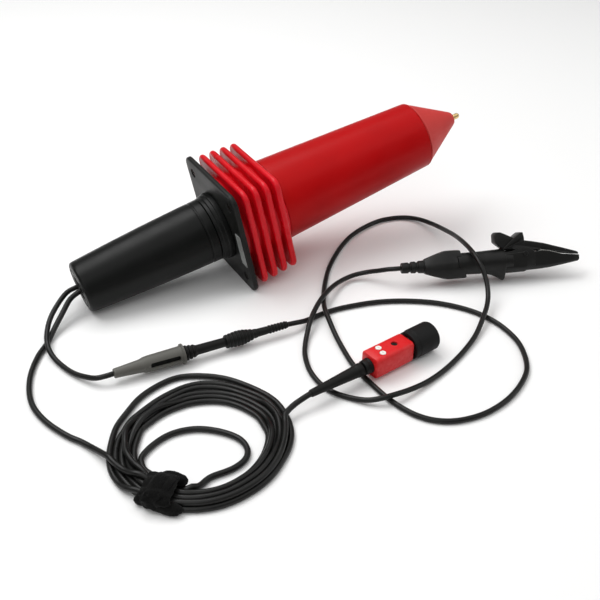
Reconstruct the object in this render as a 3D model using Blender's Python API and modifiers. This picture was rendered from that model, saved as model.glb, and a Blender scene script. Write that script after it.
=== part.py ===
"""High-voltage oscilloscope probe with its ground lead, coiled signal cable and BNC
compensation box, as separate solids. World axes in metres: +X points along the probe
body's plan direction to its tip, +Z is up, and z = 0 is the surface it lies on.
Part sizes are in millimetres and cord routes in metres."""

import math

import bmesh
import bpy
from mathutils import Matrix, Vector

MM = 0.001
GAP = 0.3                    # clearance between pieces that touch

# Probe body, along its own axis from the handle's rear face
TOTAL_LENGTH = 330.0
HANDLE_REAR_R = 19.3
HANDLE_FRONT_R = 23.9
HANDLE_LENGTH = 102.0
WALL = 2.6
COLLAR_FRONT = 111.9
PLATE_SIZE = 83.5
PLATE_BACK = 112.2
PLATE_THICK = 4.0
PLATE_SCREW_OFFSET = 30.5
SCREW_WELL_DEPTH = 2.6
FIN_SIZE = 80.0
FIN_FIRST = 123.8
FIN_PITCH = 8.45
FIN_COUNT = 4
FIN_THICK = 4.4
HUB_R = 32.6
HUB_END = 155.0
BARREL_REAR_R = 31.85
BARREL_FRONT_R = 26.26
BARREL_END = 285.2
CONE_END = 322.6
CONE_TIP_R = 5.0
TIP_R = 2.2
BODY_TILT = math.radians(11.406)
BODY_ORIGIN = (-0.16013, 0.0, 0.0185)

# Connectors and clip: place of the rear end and heading in plan
SOCKET_ORIGIN = (-0.1684, -0.0902, 0.0076)
SOCKET_HEADING = math.radians(-2.47)
PLUG_OUT = 48.0              # along the socket's axis, where the plug's rib collar starts
BNC_ORIGIN = (-0.0214, -0.1644, 0.0104)
BNC_HEADING = math.radians(9.0)
BOOT_LEAN = math.radians(-1.0)
BOOT_TURN = math.radians(-1.5)
CLIP_ORIGIN = (0.0579, -0.0822, 0.0150)
CLIP_HEADING = math.radians(-20.7)
CLIP_LEAN = math.radians(60.0)
CLIP_PIVOT = (93.0, 4.6)
TRIMMER_PLACES = {"trimmer_low": (10.0, 3.0), "trimmer_high": (8.8, -2.8),
                  "trimmer_offset": (21.4, 0.2)}

# Cords
COAX_D = 3.8
LEAD_D = 3.6
COIL_CENTRE = (-0.1425, -0.1685)
COIL_INNER_R = 39.0
COIL_OUTER_R = 58.5
COIL_HEIGHT = 9.0
TIE_ANGLE = math.radians(225.0)

PIGTAIL_ROUTE = [
    (-0.1608, 0.0030, 0.0182), (-0.1690, 0.0018, 0.0167), (-0.1790, -0.0060, 0.0135),
    (-0.1875, -0.0155, 0.0100), (-0.1935, -0.0270, 0.0068), (-0.1962, -0.0380, 0.0044),
    (-0.1958, -0.0490, 0.0027), (-0.1930, -0.0610, 0.0023), (-0.1890, -0.0722, 0.0028),
    (-0.1832, -0.0822, 0.0045), (-0.1790, -0.0876, 0.0062), (-0.1740, -0.0899, 0.0074),
    (-0.1690, -0.0902, 0.0076)]
COAX_IN_ROUTE = [
    (-0.1608, -0.0030, 0.0182), (-0.1690, -0.0050, 0.0150), (-0.1775, -0.0120, 0.0100),
    (-0.1860, -0.0200, 0.0055), (-0.1945, -0.0298, 0.0021), (-0.2040, -0.0410, 0.0021),
    (-0.2130, -0.0560, 0.0021), (-0.2185, -0.0700, 0.0021), (-0.2215, -0.0840, 0.0021),
    (-0.2215, -0.0960, 0.0021), (-0.2190, -0.1085, 0.0021), (-0.2150, -0.1195, 0.0021),
    (-0.2105, -0.1290, 0.0021), (-0.2060, -0.1362, 0.0022), (-0.2016, -0.1464, 0.0032)]
INNER_LOOP_ROUTE = [
    (-0.1764, -0.1630, 0.0021), (-0.1690, -0.1590, 0.0021), (-0.1570, -0.1555, 0.0021),
    (-0.1450, -0.1570, 0.0021), (-0.1370, -0.1610, 0.0021), (-0.1290, -0.1680, 0.0021),
    (-0.1225, -0.1775, 0.0021), (-0.1212, -0.1850, 0.0021), (-0.1230, -0.1925, 0.0021),
    (-0.1282, -0.1975, 0.0021), (-0.1350, -0.1998, 0.0021), (-0.1430, -0.2005, 0.0021),
    (-0.1515, -0.2004, 0.0021)]
COAX_OUT_ROUTE = [
    (-0.0816, -0.1728, 0.0074), (-0.0790, -0.1722, 0.0079), (-0.0750, -0.1715, 0.0086),
    (-0.0701, -0.1708, 0.0094)]
LEAD_ROUTE = [
    (-0.0441, -0.0956, 0.0074), (-0.0380, -0.0955, 0.0066), (-0.0310, -0.0938, 0.0045),
    (-0.0240, -0.0914, 0.0027), (-0.0160, -0.0894, 0.0020), (-0.0060, -0.0888, 0.0019),
    (0.0043, -0.0895, 0.0019), (0.0235, -0.0933, 0.0019), (0.0389, -0.0988, 0.0019),
    (0.0529, -0.1064, 0.0019), (0.0657, -0.1158, 0.0019), (0.0766, -0.1277, 0.0019),
    (0.0850, -0.1420, 0.0019), (0.0894, -0.1590, 0.0019), (0.0886, -0.1787, 0.0019),
    (0.0828, -0.1946, 0.0019), (0.0740, -0.2080, 0.0019), (0.0630, -0.2170, 0.0019),
    (0.0484, -0.2248, 0.0019), (0.0329, -0.2295, 0.0019), (0.0173, -0.2308, 0.0019),
    (0.0022, -0.2280, 0.0019), (-0.0090, -0.2215, 0.0019), (-0.0165, -0.2120, 0.0019),
    (-0.0210, -0.2000, 0.0019), (-0.0233, -0.1878, 0.0019), (-0.0243, -0.1759, 0.0019),
    (-0.0249, -0.1625, 0.0019), (-0.0243, -0.1487, 0.0019), (-0.0217, -0.1335, 0.0019),
    (-0.0186, -0.1175, 0.0030), (-0.0148, -0.1020, 0.0049), (-0.0110, -0.0890, 0.0060),
    (-0.0044, -0.0761, 0.0042), (0.0054, -0.0603, 0.0022), (0.0187, -0.0425, 0.0019),
    (0.0323, -0.0281, 0.0019), (0.0488, -0.0139, 0.0019), (0.0652, -0.0035, 0.0019),
    (0.0840, 0.0032, 0.0019), (0.0997, 0.0050, 0.0019), (0.1149, 0.0008, 0.0021),
    (0.1238, -0.0085, 0.0030), (0.1266, -0.0231, 0.0055), (0.1255, -0.0360, 0.0088),
    (0.1226, -0.0500, 0.0130), (0.1183, -0.0650, 0.0180), (0.1132, -0.0805, 0.0226),
    (0.1083, -0.0960, 0.0257), (0.1052, -0.1080, 0.0258), (0.1040, -0.1170, 0.0225),
    (0.1027, -0.1255, 0.0160), (0.0990, -0.1335, 0.0105), (0.0925, -0.1415, 0.0075),
    (0.0828, -0.1503, 0.0061), (0.0667, -0.1628, 0.0032), (0.0494, -0.1727, 0.0020),
    (0.0294, -0.1819, 0.0019), (0.0110, -0.1880, 0.0024), (-0.0060, -0.1916, 0.0042),
    (-0.0221, -0.1928, 0.0061), (-0.0310, -0.1905, 0.0050), (-0.0370, -0.1860, 0.0032),
    (-0.0434, -0.1785, 0.0020), (-0.0494, -0.1700, 0.0019), (-0.0527, -0.1610, 0.0019),
    (-0.0535, -0.1510, 0.0019), (-0.0521, -0.1395, 0.0019), (-0.0477, -0.1265, 0.0019),
    (-0.0421, -0.1164, 0.0022), (-0.0345, -0.1060, 0.0040), (-0.0267, -0.0970, 0.0068),
    (-0.0150, -0.0855, 0.0080), (-0.0034, -0.0765, 0.0084), (0.0100, -0.0668, 0.0062),
    (0.0215, -0.0612, 0.0046), (0.0317, -0.0600, 0.0048), (0.0400, -0.0640, 0.0070),
    (0.0456, -0.0710, 0.0105), (0.0498, -0.0770, 0.0137), (0.0535, -0.0804, 0.0149),
    (0.0571, -0.0819, 0.0150)]

BLACK = (0.012, 0.013, 0.012)
FINISHES = {
    "handle_plastic": (BLACK, 0.42, 0.0),
    "guard_plastic": ((0.015, 0.016, 0.015), 0.5, 0.0),
    "red_gloss": ((0.62, 0.004, 0.012), 0.28, 0.0),
    "red_barrel": ((0.42, 0.003, 0.005), 0.3, 0.0),
    "red_matte": ((0.50, 0.035, 0.035), 0.55, 0.0),
    "brass": ((0.78, 0.55, 0.22), 0.3, 1.0),
    "steel": ((0.55, 0.55, 0.56), 0.32, 1.0),
    "ceramic": ((0.80, 0.78, 0.70), 0.5, 0.0),
    "insulator": ((0.85, 0.84, 0.80), 0.4, 0.0),
    "board_green": ((0.03, 0.16, 0.07), 0.45, 0.0),
    "label_grey": ((0.55, 0.56, 0.55), 0.4, 0.2),
    "grey_plastic": ((0.15, 0.15, 0.14), 0.45, 0.0),
    "black_rubber": ((0.010, 0.010, 0.010), 0.55, 0.0),
    "cord_black": ((0.008, 0.008, 0.008), 0.4, 0.0),
    "tie_fabric": ((0.006, 0.006, 0.006), 0.9, 0.0),
    "red_box": ((0.70, 0.010, 0.012), 0.35, 0.0),
    "white_plastic": ((0.85, 0.84, 0.80), 0.4, 0.0),
    "dark_screw": ((0.05, 0.03, 0.03), 0.4, 0.6),
}


def start_scene():
    for old in list(bpy.data.objects):
        bpy.data.objects.remove(old, do_unlink=True)
    collections = {}
    for name in ("oscilloscope_probe", "cutters"):
        collection = bpy.data.collections.new(name)
        bpy.context.scene.collection.children.link(collection)
        collections[name] = collection
    return collections


COLLECTIONS = start_scene()


def finish_material(name):
    material = bpy.data.materials.get(name)
    if material:
        return material
    colour, roughness, metallic = FINISHES[name]
    material = bpy.data.materials.new(name)
    material.use_nodes = True
    shader = material.node_tree.nodes["Principled BSDF"]
    shader.inputs["Base Color"].default_value = (*colour, 1.0)
    shader.inputs["Roughness"].default_value = roughness
    shader.inputs["Metallic"].default_value = metallic
    return material


def place(obj, finish, parent=None, location=(0, 0, 0), rotation=(0, 0, 0), cutter=False):
    """Link an object, in millimetres under its parent, with its finish."""
    COLLECTIONS["cutters" if cutter else "oscilloscope_probe"].objects.link(obj)
    obj.location = [value * MM for value in location]
    obj.rotation_euler = rotation
    obj.parent = parent
    if cutter:
        obj.hide_render = True
        obj.display_type = "WIRE"
    else:
        obj.data.materials.clear()
        obj.data.materials.append(finish_material(finish))
    return obj


def frame_empty(name, location, rotation, parent=None):
    empty = bpy.data.objects.new(name, None)
    COLLECTIONS["oscilloscope_probe"].objects.link(empty)
    empty.location = location
    empty.rotation_euler = rotation
    empty.parent = parent
    return empty


ALONG_X = (0, math.pi / 2, 0)      # turns a solid's own Z onto its parent's X


def turned(name, profile, finish, parent, steps=32, closed=False, along=True, cutter=False,
           location=(0, 0, 0)):
    """Turn (axial, radius) points, front to back down the outer side, about the axis."""
    mesh = bpy.data.meshes.new(name)
    points = [(radius * MM, 0, axial * MM) for axial, radius in profile]
    edges = [(i, i + 1) for i in range(len(points) - 1)]
    if closed:
        edges.append((len(points) - 1, 0))
    mesh.from_pydata(points, edges, [])
    obj = bpy.data.objects.new(name, mesh)
    screw = obj.modifiers.new("Turn", "SCREW")
    screw.steps = steps
    screw.render_steps = steps
    screw.use_merge_vertices = True
    screw.merge_threshold = 0.00001
    screw.use_smooth_shade = True
    rotation = ALONG_X if along else (0, 0, 0)
    return place(obj, finish, parent, location, rotation, cutter)


def tube_wall(name, x0, x1, outer, inner, finish, parent, steps=32, **options):
    """A plain ring between two stations, with one outer and one inner radius."""
    profile = [(x1, outer), (x0, outer), (x0, inner), (x1, inner)]
    return turned(name, profile, finish, parent, steps, closed=True, **options)


def rod(name, x0, x1, radius, finish, parent, steps=24, **options):
    profile = [(x1, 0), (x1, radius), (x0, radius), (x0, 0)]
    return turned(name, profile, finish, parent, steps, **options)


def rounded_box(name, size, centre, finish, parent, edge=0.5, segments=1, only_x=False,
                cutter=False):
    """A box with rounded edges; only_x rounds the edges that run along X."""
    mesh = bpy.data.meshes.new(name)
    shape = bmesh.new()
    bmesh.ops.create_cube(shape, size=1.0)
    bmesh.ops.scale(shape, vec=[value * MM for value in size], verts=shape.verts)
    chosen = shape.edges[:]
    if only_x:
        chosen = [e for e in chosen if abs((e.verts[0].co - e.verts[1].co).x) > 1e-9]
    if edge:
        bmesh.ops.bevel(shape, geom=chosen, offset=edge * MM, segments=segments,
                        profile=0.5, affect="EDGES")
    shape.to_mesh(mesh)
    shape.free()
    return place(bpy.data.objects.new(name, mesh), finish, parent, centre, cutter=cutter)


def rounded_plate(name, x_centre, thickness, size, corner, rim, finish, parent,
                  corner_segments=5, rim_segments=3):
    """A square plate across X with rounded corners and a rounded rim."""
    mesh = bpy.data.meshes.new(name)
    shape = bmesh.new()
    bmesh.ops.create_cube(shape, size=1.0)
    bmesh.ops.scale(shape, vec=(thickness * MM, size * MM, size * MM), verts=shape.verts)
    long_edges = [e for e in shape.edges if abs((e.verts[0].co - e.verts[1].co).x) > 1e-9]
    bmesh.ops.bevel(shape, geom=long_edges, offset=corner * MM, segments=corner_segments,
                    profile=0.5, affect="EDGES")
    rim_edges = [e for e in shape.edges
                 if abs(e.verts[0].co.x - e.verts[1].co.x) < 1e-9]
    bmesh.ops.bevel(shape, geom=rim_edges, offset=rim * MM, segments=rim_segments,
                    profile=0.5, affect="EDGES")
    shape.to_mesh(mesh)
    shape.free()
    return place(bpy.data.objects.new(name, mesh), finish, parent, (x_centre, 0, 0))


def combine(obj, tool, operation="DIFFERENCE"):
    modifier = obj.modifiers.new(operation.title(), "BOOLEAN")
    modifier.operation = operation
    modifier.solver = "EXACT"
    modifier.object = tool
    return obj


def plate_outline(name, outline, half_width, finish, parent, edge=0.0, cutter=False):
    """A closed outline in the parent's XY plane, extruded both ways along its Z."""
    curve = bpy.data.curves.new(name, "CURVE")
    curve.dimensions = "2D"
    curve.fill_mode = "BOTH"
    curve.extrude = half_width * MM
    spline = curve.splines.new("POLY")
    spline.points.add(len(outline) - 1)
    for point, (x, y) in zip(spline.points, outline):
        point.co = (x * MM, y * MM, 0, 1)
    spline.use_cyclic_u = True
    source = bpy.data.objects.new(name + "_outline", curve)
    COLLECTIONS["cutters"].objects.link(source)
    graph = bpy.context.evaluated_depsgraph_get()
    mesh = bpy.data.meshes.new_from_object(source.evaluated_get(graph))
    bpy.data.objects.remove(source)
    shape = bmesh.new()
    shape.from_mesh(mesh)
    bmesh.ops.remove_doubles(shape, verts=shape.verts, dist=0.00001)
    bmesh.ops.recalc_face_normals(shape, faces=shape.faces)
    shape.to_mesh(mesh)
    shape.free()
    obj = bpy.data.objects.new(name, mesh)
    place(obj, finish, parent, cutter=cutter)
    if edge:
        bevel = obj.modifiers.new("Edge", "BEVEL")
        bevel.width = edge * MM
        bevel.segments = 1
        bevel.limit_method = "ANGLE"
        bevel.angle_limit = math.radians(50)
    return obj


def smooth_route(route, spacing):
    """Evenly spaced points on the Catmull-Rom curve through the route's own points."""
    points = [Vector(point) for point in route]
    ends = [points[0] * 2 - points[1]] + points + [points[-1] * 2 - points[-2]]
    fine = []
    steps = 12
    for i in range(1, len(ends) - 2):
        p0, p1, p2, p3 = ends[i - 1:i + 3]
        for k in range(steps):
            t = k / steps
            fine.append(0.5 * ((2 * p1) + (p2 - p0) * t
                               + (2 * p0 - 5 * p1 + 4 * p2 - p3) * t * t
                               + (3 * p1 - p0 - 3 * p2 + p3) * t ** 3))
    fine.append(points[-1])
    lengths = [0.0]
    for a, b in zip(fine, fine[1:]):
        lengths.append(lengths[-1] + (b - a).length)
    count = max(3, round(lengths[-1] / spacing))
    result = []
    j = 0
    for k in range(count + 1):
        target = lengths[-1] * k / count
        while j < len(fine) - 2 and lengths[j + 1] < target:
            j += 1
        share = (target - lengths[j]) / (lengths[j + 1] - lengths[j])
        result.append(fine[j].lerp(fine[j + 1], min(share, 1.0)))
    return result


def cord(name, route, diameter, pitch, finish="cord_black"):
    """A free cord's stretch: a round tube with a point every few diameters."""
    points = smooth_route(route, pitch * diameter * MM)
    curve = bpy.data.curves.new(name, "CURVE")
    curve.dimensions = "3D"
    curve.bevel_depth = diameter / 2 * MM
    curve.bevel_resolution = 2
    curve.use_fill_caps = True
    spline = curve.splines.new("POLY")
    spline.points.add(len(points) - 1)
    for target, point in zip(spline.points, points):
        target.co = (*point, 1)
    obj = bpy.data.objects.new(name, curve)
    return place(obj, finish)


def make_handle(body):
    bulge = 0.6
    outer = []
    stations = 5
    for k in range(stations + 1):
        share = 1 - k / stations
        x = 3.0 + share * (HANDLE_LENGTH - 3.0)
        radius = HANDLE_REAR_R + (HANDLE_FRONT_R - HANDLE_REAR_R) * share
        outer.append((x, radius + bulge * math.sin(math.pi * share)))
    rear_edge = [(0.9, HANDLE_REAR_R - 0.9), (0.0, HANDLE_REAR_R - 3.0)]
    inside = [(0.0, 10.0), (2.4, 10.0), (4.0, HANDLE_REAR_R - WALL - 1.2),
              (HANDLE_LENGTH, HANDLE_FRONT_R - WALL)]
    turned("handle_shell", outer + rear_edge + inside, "handle_plastic", body, 36, closed=True)
    grommet = [(6.0, 0), (6.0, 9.0), (2.8, 9.0), (2.8, 9.7), (0.0, 9.7), (0.0, 8.6),
               (0.8, 8.0), (0.8, 0)]
    turned("cable_grommet", grommet, "black_rubber", body, 20)
    collar = [(COLLAR_FRONT, 26.0), (108.0, 26.0), (107.2, 25.2), (105.4, 25.2), (104.6, 24.6),
              (HANDLE_LENGTH + GAP, 24.6), (HANDLE_LENGTH + GAP, 20.6), (COLLAR_FRONT, 20.6)]
    turned("handle_collar", collar, "handle_plastic", body, 32, closed=True)


def make_guard(body):
    centre = PLATE_BACK + PLATE_THICK / 2
    plate = rounded_plate("guard_plate", centre, PLATE_THICK, PLATE_SIZE, 8.0, 1.2,
                          "guard_plastic", body, 5, 1)
    hole = rod("plate_bore", 105.0, 120.0, 20.6, "", body, 32, cutter=True)
    combine(plate, hole)
    floor = PLATE_BACK + SCREW_WELL_DEPTH
    head = [(floor - GAP, 0), (floor - GAP, 2.9), (floor - 1.3, 2.9), (floor - 1.7, 2.3),
            (floor - 1.7, 0)]
    number = 0
    for side_y in (-1, 1):
        for side_z in (-1, 1):
            number += 1
            corner = (0, side_y * PLATE_SCREW_OFFSET, side_z * PLATE_SCREW_OFFSET)
            well = rod(f"screw_well_{number}", 105.0, floor, 3.3, "", body, 16, cutter=True,
                       location=corner)
            combine(plate, well)
            turned(f"guard_screw_{number}", head, "dark_screw", body, 16, location=corner)
    fins = tube_wall("fin_guard", PLATE_BACK + PLATE_THICK + GAP, HUB_END, HUB_R, 30.2,
                     "red_gloss", body, 40)
    for k in range(FIN_COUNT):
        fin = rounded_plate(f"fin_{k}", FIN_FIRST + k * FIN_PITCH, FIN_THICK, FIN_SIZE, 8.0,
                            1.9, "red_gloss", body, 4, 2)
        bore = rod(f"fin_bore_{k}", 110.0, 160.0, 31.4, "", body, 40, cutter=True)
        combine(fin, bore)
        COLLECTIONS["oscilloscope_probe"].objects.unlink(fin)
        COLLECTIONS["cutters"].objects.link(fin)
        fin.hide_render = True
        fin.display_type = "WIRE"
        combine(fins, fin, "UNION")
    rounded_box("rating_label", (0.4, 8.0, 27.0), (PLATE_BACK - GAP - 0.2, -36.0, -4.0),
                "label_grey", body, 0)


def make_barrel(body):
    spigot_end = HUB_END + GAP
    profile = [(BARREL_END, BARREL_FRONT_R), (spigot_end, BARREL_REAR_R), (spigot_end, 29.9),
               (PLATE_BACK + PLATE_THICK + GAP, 29.9), (PLATE_BACK + PLATE_THICK + GAP, 27.4),
               (spigot_end, 27.4), (BARREL_END, BARREL_FRONT_R - WALL)]
    turned("barrel_shell", profile, "red_barrel", body, 40, closed=True)
    base = BARREL_END + GAP
    slope = (BARREL_FRONT_R - CONE_TIP_R) / (CONE_END - base)
    cone = [(CONE_END, CONE_TIP_R), (base + 1.0, BARREL_FRONT_R - slope), (base, BARREL_FRONT_R),
            (base, BARREL_FRONT_R - WALL - GAP), (278.0, 23.3), (278.0, 20.4),
            (base + 2.0, 20.4), (CONE_END - 6.0, 3.1), (CONE_END, 3.1)]
    turned("nose_cone", cone, "red_matte", body, 40, closed=True)
    tip = [(TOTAL_LENGTH, 0), (TOTAL_LENGTH - 0.3, 1.2), (TOTAL_LENGTH - 1.6, TIP_R),
           (CONE_END + GAP, TIP_R), (CONE_END + GAP - 0.3, 2.6), (312.0, 2.6), (312.0, 2.7),
           (304.0, 2.7), (304.0, 0)]
    turned("probe_tip", tip, "brass", body, 20)
    rod("tip_socket", 290.0, 303.7, 4.6, "brass", body, 20)
    rod("resistor_cap_front", 276.0, 289.7, 6.4, "brass", body, 20)
    rod("resistor_rod", 150.3, 275.7, 5.4, "ceramic", body, 20)
    rod("resistor_cap_rear", 136.0, 150.0, 6.4, "brass", body, 20)
    tube_wall("resistor_tube", 126.0, 272.0, 10.6, 8.6, "insulator", body, 24)
    tube_wall("tube_spacer_rear", 126.0, 132.0, 27.0, 10.9, "insulator", body, 28)
    tube_wall("tube_spacer_front", 250.0, 256.0, 24.4, 10.9, "insulator", body, 28)


def make_electronics(body):
    rounded_box("divider_board", (66.0, 24.0, 1.6), (62.0, 0, -4.0), "board_green", body, 0)
    rod("divider_resistor", 50.0, 64.0, 2.6, "ceramic", body, 14, location=(0, 5.5, -0.2))
    rounded_box("divider_capacitor", (7.0, 6.0, 7.0), (76.0, -5.0, 0.7), "brass", body, 0.6)
    rounded_box("cable_clamp", (10.0, 20.0, 3.2), (20.0, 0, 4.2), "steel", body, 0.5)


def make_socket():
    socket = frame_empty("socket_axis", SOCKET_ORIGIN, (0, 0, SOCKET_HEADING))
    shell = [(PLUG_OUT - GAP, 7.0), (PLUG_OUT - 2.0, 7.0), (PLUG_OUT - 2.0, 5.9), (23.0, 5.6),
             (20.0, 4.6), (0.0, 3.2), (0.0, 1.2), (18.0, 1.2), (20.0, 4.1), (PLUG_OUT - GAP, 4.4)]
    grey = turned("socket_shell", shell, "grey_plastic", socket, 24, closed=True)
    slot = rounded_box("socket_window_cut", (20.0, 6.0, 3.2), (34.0, -5.0, 1.2), "", socket,
                       1.2, 1, cutter=True)
    combine(grey, slot)
    tube_wall("socket_sleeve", 20.6, 46.0, 3.7, 2.15, "black_rubber", socket, 16)
    return socket


def make_plug(socket):
    """The banana plug, with its pin in the socket, which slides back off it."""
    pin = [(PLUG_OUT + 6.0, 0), (PLUG_OUT + 6.0, 1.5), (46.0, 1.5), (46.0, 1.95), (26.5, 1.95),
           (25.0, 1.0), (25.0, 0)]
    turned("plug_pin", pin, "steel", socket, 16)
    ribs = [(PLUG_OUT + 8.0, 4.0)]
    for k in range(3):
        x = PLUG_OUT + 7.6 - 2.6 * k
        ribs += [(x, 5.0), (x - 1.4, 5.0), (x - 1.8, 4.3)]
    body = [(PLUG_OUT + 29.2, 0), (PLUG_OUT + 29.2, 3.1)] + ribs
    body += [(PLUG_OUT, 4.3), (PLUG_OUT, 3.2), (PLUG_OUT + 6.3, 3.2), (PLUG_OUT + 6.3, 0)]
    turned("plug_barrel", body, "black_rubber", socket, 16)
    grip = [(PLUG_OUT + 53.0, 0), (PLUG_OUT + 53.0, 3.4)]
    count = 5
    for k in range(count):
        x = PLUG_OUT + 51.5 - 4.3 * k
        swell = 3.7 + 1.3 * math.sin(math.pi * (0.25 + 0.6 * k / count))
        grip += [(x, swell), (x - 2.2, swell), (x - 2.6, swell - 0.5), (x - 3.9, swell - 0.5)]
    grip += [(PLUG_OUT + 29.5, 4.2), (PLUG_OUT + 29.5, 0)]
    turned("plug_grip", grip, "black_rubber", socket, 16)
    relief = [(PLUG_OUT + 75.6, 0), (PLUG_OUT + 75.6, 2.3)]
    for k in range(4):
        x = PLUG_OUT + 74.0 - 5.0 * k
        relief += [(x, 2.5 + 0.12 * k), (x - 2.0, 2.5 + 0.12 * k), (x - 2.4, 2.1 + 0.1 * k),
                   (x - 3.4, 2.1 + 0.1 * k)]
    relief += [(PLUG_OUT + 53.3, 3.0), (PLUG_OUT + 53.3, 0)]
    turned("plug_relief", relief, "black_rubber", socket, 12)


def make_clip():
    clip = frame_empty("clip_axis", CLIP_ORIGIN, (CLIP_LEAN, 0, CLIP_HEADING))
    pivot_x, pivot_y = CLIP_PIVOT
    boot = [(17.0, 0), (17.0, 4.7), (15.0, 4.7), (14.2, 3.8), (12.4, 3.8), (12.0, 4.3),
            (8.8, 4.3), (8.4, 3.2), (6.8, 3.2), (6.4, 3.9), (0.0, 3.7), (0.0, 0)]
    turned("clip_boot", boot, "black_rubber", clip, 16)
    outline = [(17.3, -5.4), (34.0, -10.4), (48.0, -10.2), (48.0, 10.4), (34.0, 10.6), (17.3, 5.6)]
    block = plate_outline("clip_block", outline, 8.0, "black_rubber", clip, 1.4)
    bore = rod("block_bore", 40.0, 60.0, 8.7, "", clip, 28, cutter=True)
    combine(block, bore)
    body = turned("clip_body", [(82.0, 0), (82.0, 9.0), (48.0, 8.2), (42.0, 8.2), (42.0, 0)],
                  "black_rubber", clip, 24)
    lower = [(74.0, -9.0), (93.0, -8.8), (94.6, -8.0), (111.0, -7.6), (134.5, -4.2),
             (136.4, -2.6), (136.4, 0.2), (130.0, 1.2), (122.0, 2.3), (113.0, 4.9), (106.7, 6.1),
             (101.5, 5.6), (98.8, -1.8), (88.0, -1.8), (82.0, 5.0), (74.0, 5.0)]
    jaw = plate_outline("clip_lower_jaw", lower, 5.6, "", clip, cutter=True)
    combine(body, jaw, "UNION")
    guard = [(63.5, -7.6), (75.8, -14.4), (77.4, -14.4), (78.0, -7.6)]
    lip = plate_outline("clip_lip", guard, 4.5, "", clip, cutter=True)
    combine(body, lip, "UNION")
    cheek = [(74.5, -5.0), (100.7, -5.0), (100.7, 5.6), (97.0, 8.6), (90.0, 9.0), (84.0, 7.4),
             (75.0, 5.6)]
    cheeks = plate_outline("clip_cheeks", cheek, 7.6, "", clip, cutter=True)
    combine(body, cheeks, "UNION")
    opening = [(81.2, -2.3), (100.9, -2.3), (100.9, 20.0), (70.5, 20.0), (70.5, 8.0), (76.0, 5.2),
               (81.2, 2.0)]
    well = plate_outline("clip_well", opening, 5.5, "", clip, cutter=True)
    combine(body, well)
    pin_hole = turned("pin_hole", [(12.0, 0), (12.0, 1.6), (-12.0, 1.6), (-12.0, 0)], "", clip,
                      16, along=False, cutter=True, location=(pivot_x, pivot_y, 0))
    combine(body, pin_hole)
    hinge = frame_empty("clip_hinge", (pivot_x * MM, pivot_y * MM, 0), (0, 0, 0), clip)
    upper = [(43.4, -3.4), (43.0, -1.7), (41.1, -1.0), (29.1, 2.6), (15.3, 6.7), (2.5, 9.3),
             (0.4, 9.8), (-0.1, 15.7), (-1.1, 15.4), (-8.4, 11.0), (-17.6, 16.7), (-20.7, 16.5),
             (-22.0, 15.1), (-21.8, 9.0), (-16.2, 4.7), (-9.0, 3.4), (-4.4, 2.0), (-4.0, -1.7),
             (-1.5, -3.9), (2.0, -3.7), (5.5, 1.3), (13.7, 2.1), (20.0, 0.9), (29.0, -1.7),
             (37.0, -2.9)]
    upper_jaw = plate_outline("clip_upper_jaw", upper, 5.2, "black_rubber", hinge, 0.5)
    bore = turned("upper_bore", [(12.0, 0), (12.0, 1.75), (-12.0, 1.75), (-12.0, 0)], "", hinge,
                  16, along=False, cutter=True)
    combine(upper_jaw, bore)
    turned("clip_hinge_pin", [(8.6, 0), (8.6, 1.25), (-8.6, 1.25), (-8.6, 0)], "steel", clip, 16,
           along=False, location=(pivot_x, pivot_y, 0))


def make_coil():
    """The coil's outer shape and the strap round it, then the cord's other stretches."""
    centre = (COIL_CENTRE[0] / MM, COIL_CENTRE[1] / MM, 0)

    def ring(name, grow, cutter=False):
        top = COIL_HEIGHT + grow
        low = 0.2 - grow
        outer = COIL_OUTER_R + grow
        inner = COIL_INNER_R - grow
        profile = [(top - 2.0, outer), (low + 1.5, outer), (low, outer - 1.5), (low, inner + 1.5),
                   (low + 1.5, inner), (top - 2.0, inner), (top, inner + 2.0), (top, outer - 2.0)]
        return turned(name, profile, "cord_black", None, 40, closed=True, along=False,
                      cutter=cutter, location=centre)

    ring("coax_coil", 0.0)
    swollen = ring("coil_clearance", GAP, True)
    middle = (COIL_INNER_R + COIL_OUTER_R) / 2
    strap = rounded_box("coil_tie", (27.0, 22.0, 12.6), (0, 0, 0), "tie_fabric", None, 2.0, 2)
    strap.location = ((centre[0] + middle * math.cos(TIE_ANGLE)) * MM,
                      (centre[1] + middle * math.sin(TIE_ANGLE)) * MM, 6.5 * MM)
    strap.rotation_euler = (0, 0, TIE_ANGLE)
    combine(strap, swollen)
    cord("coax_lead_in", COAX_IN_ROUTE, COAX_D, 3.0)
    cord("coax_inner_loop", INNER_LOOP_ROUTE, COAX_D, 3.0)
    cord("coax_lead_out", COAX_OUT_ROUTE, COAX_D, 2.0)
    cord("ground_pigtail", PIGTAIL_ROUTE, LEAD_D, 3.0)
    cord("ground_lead", LEAD_ROUTE, LEAD_D, 4.0)


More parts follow.
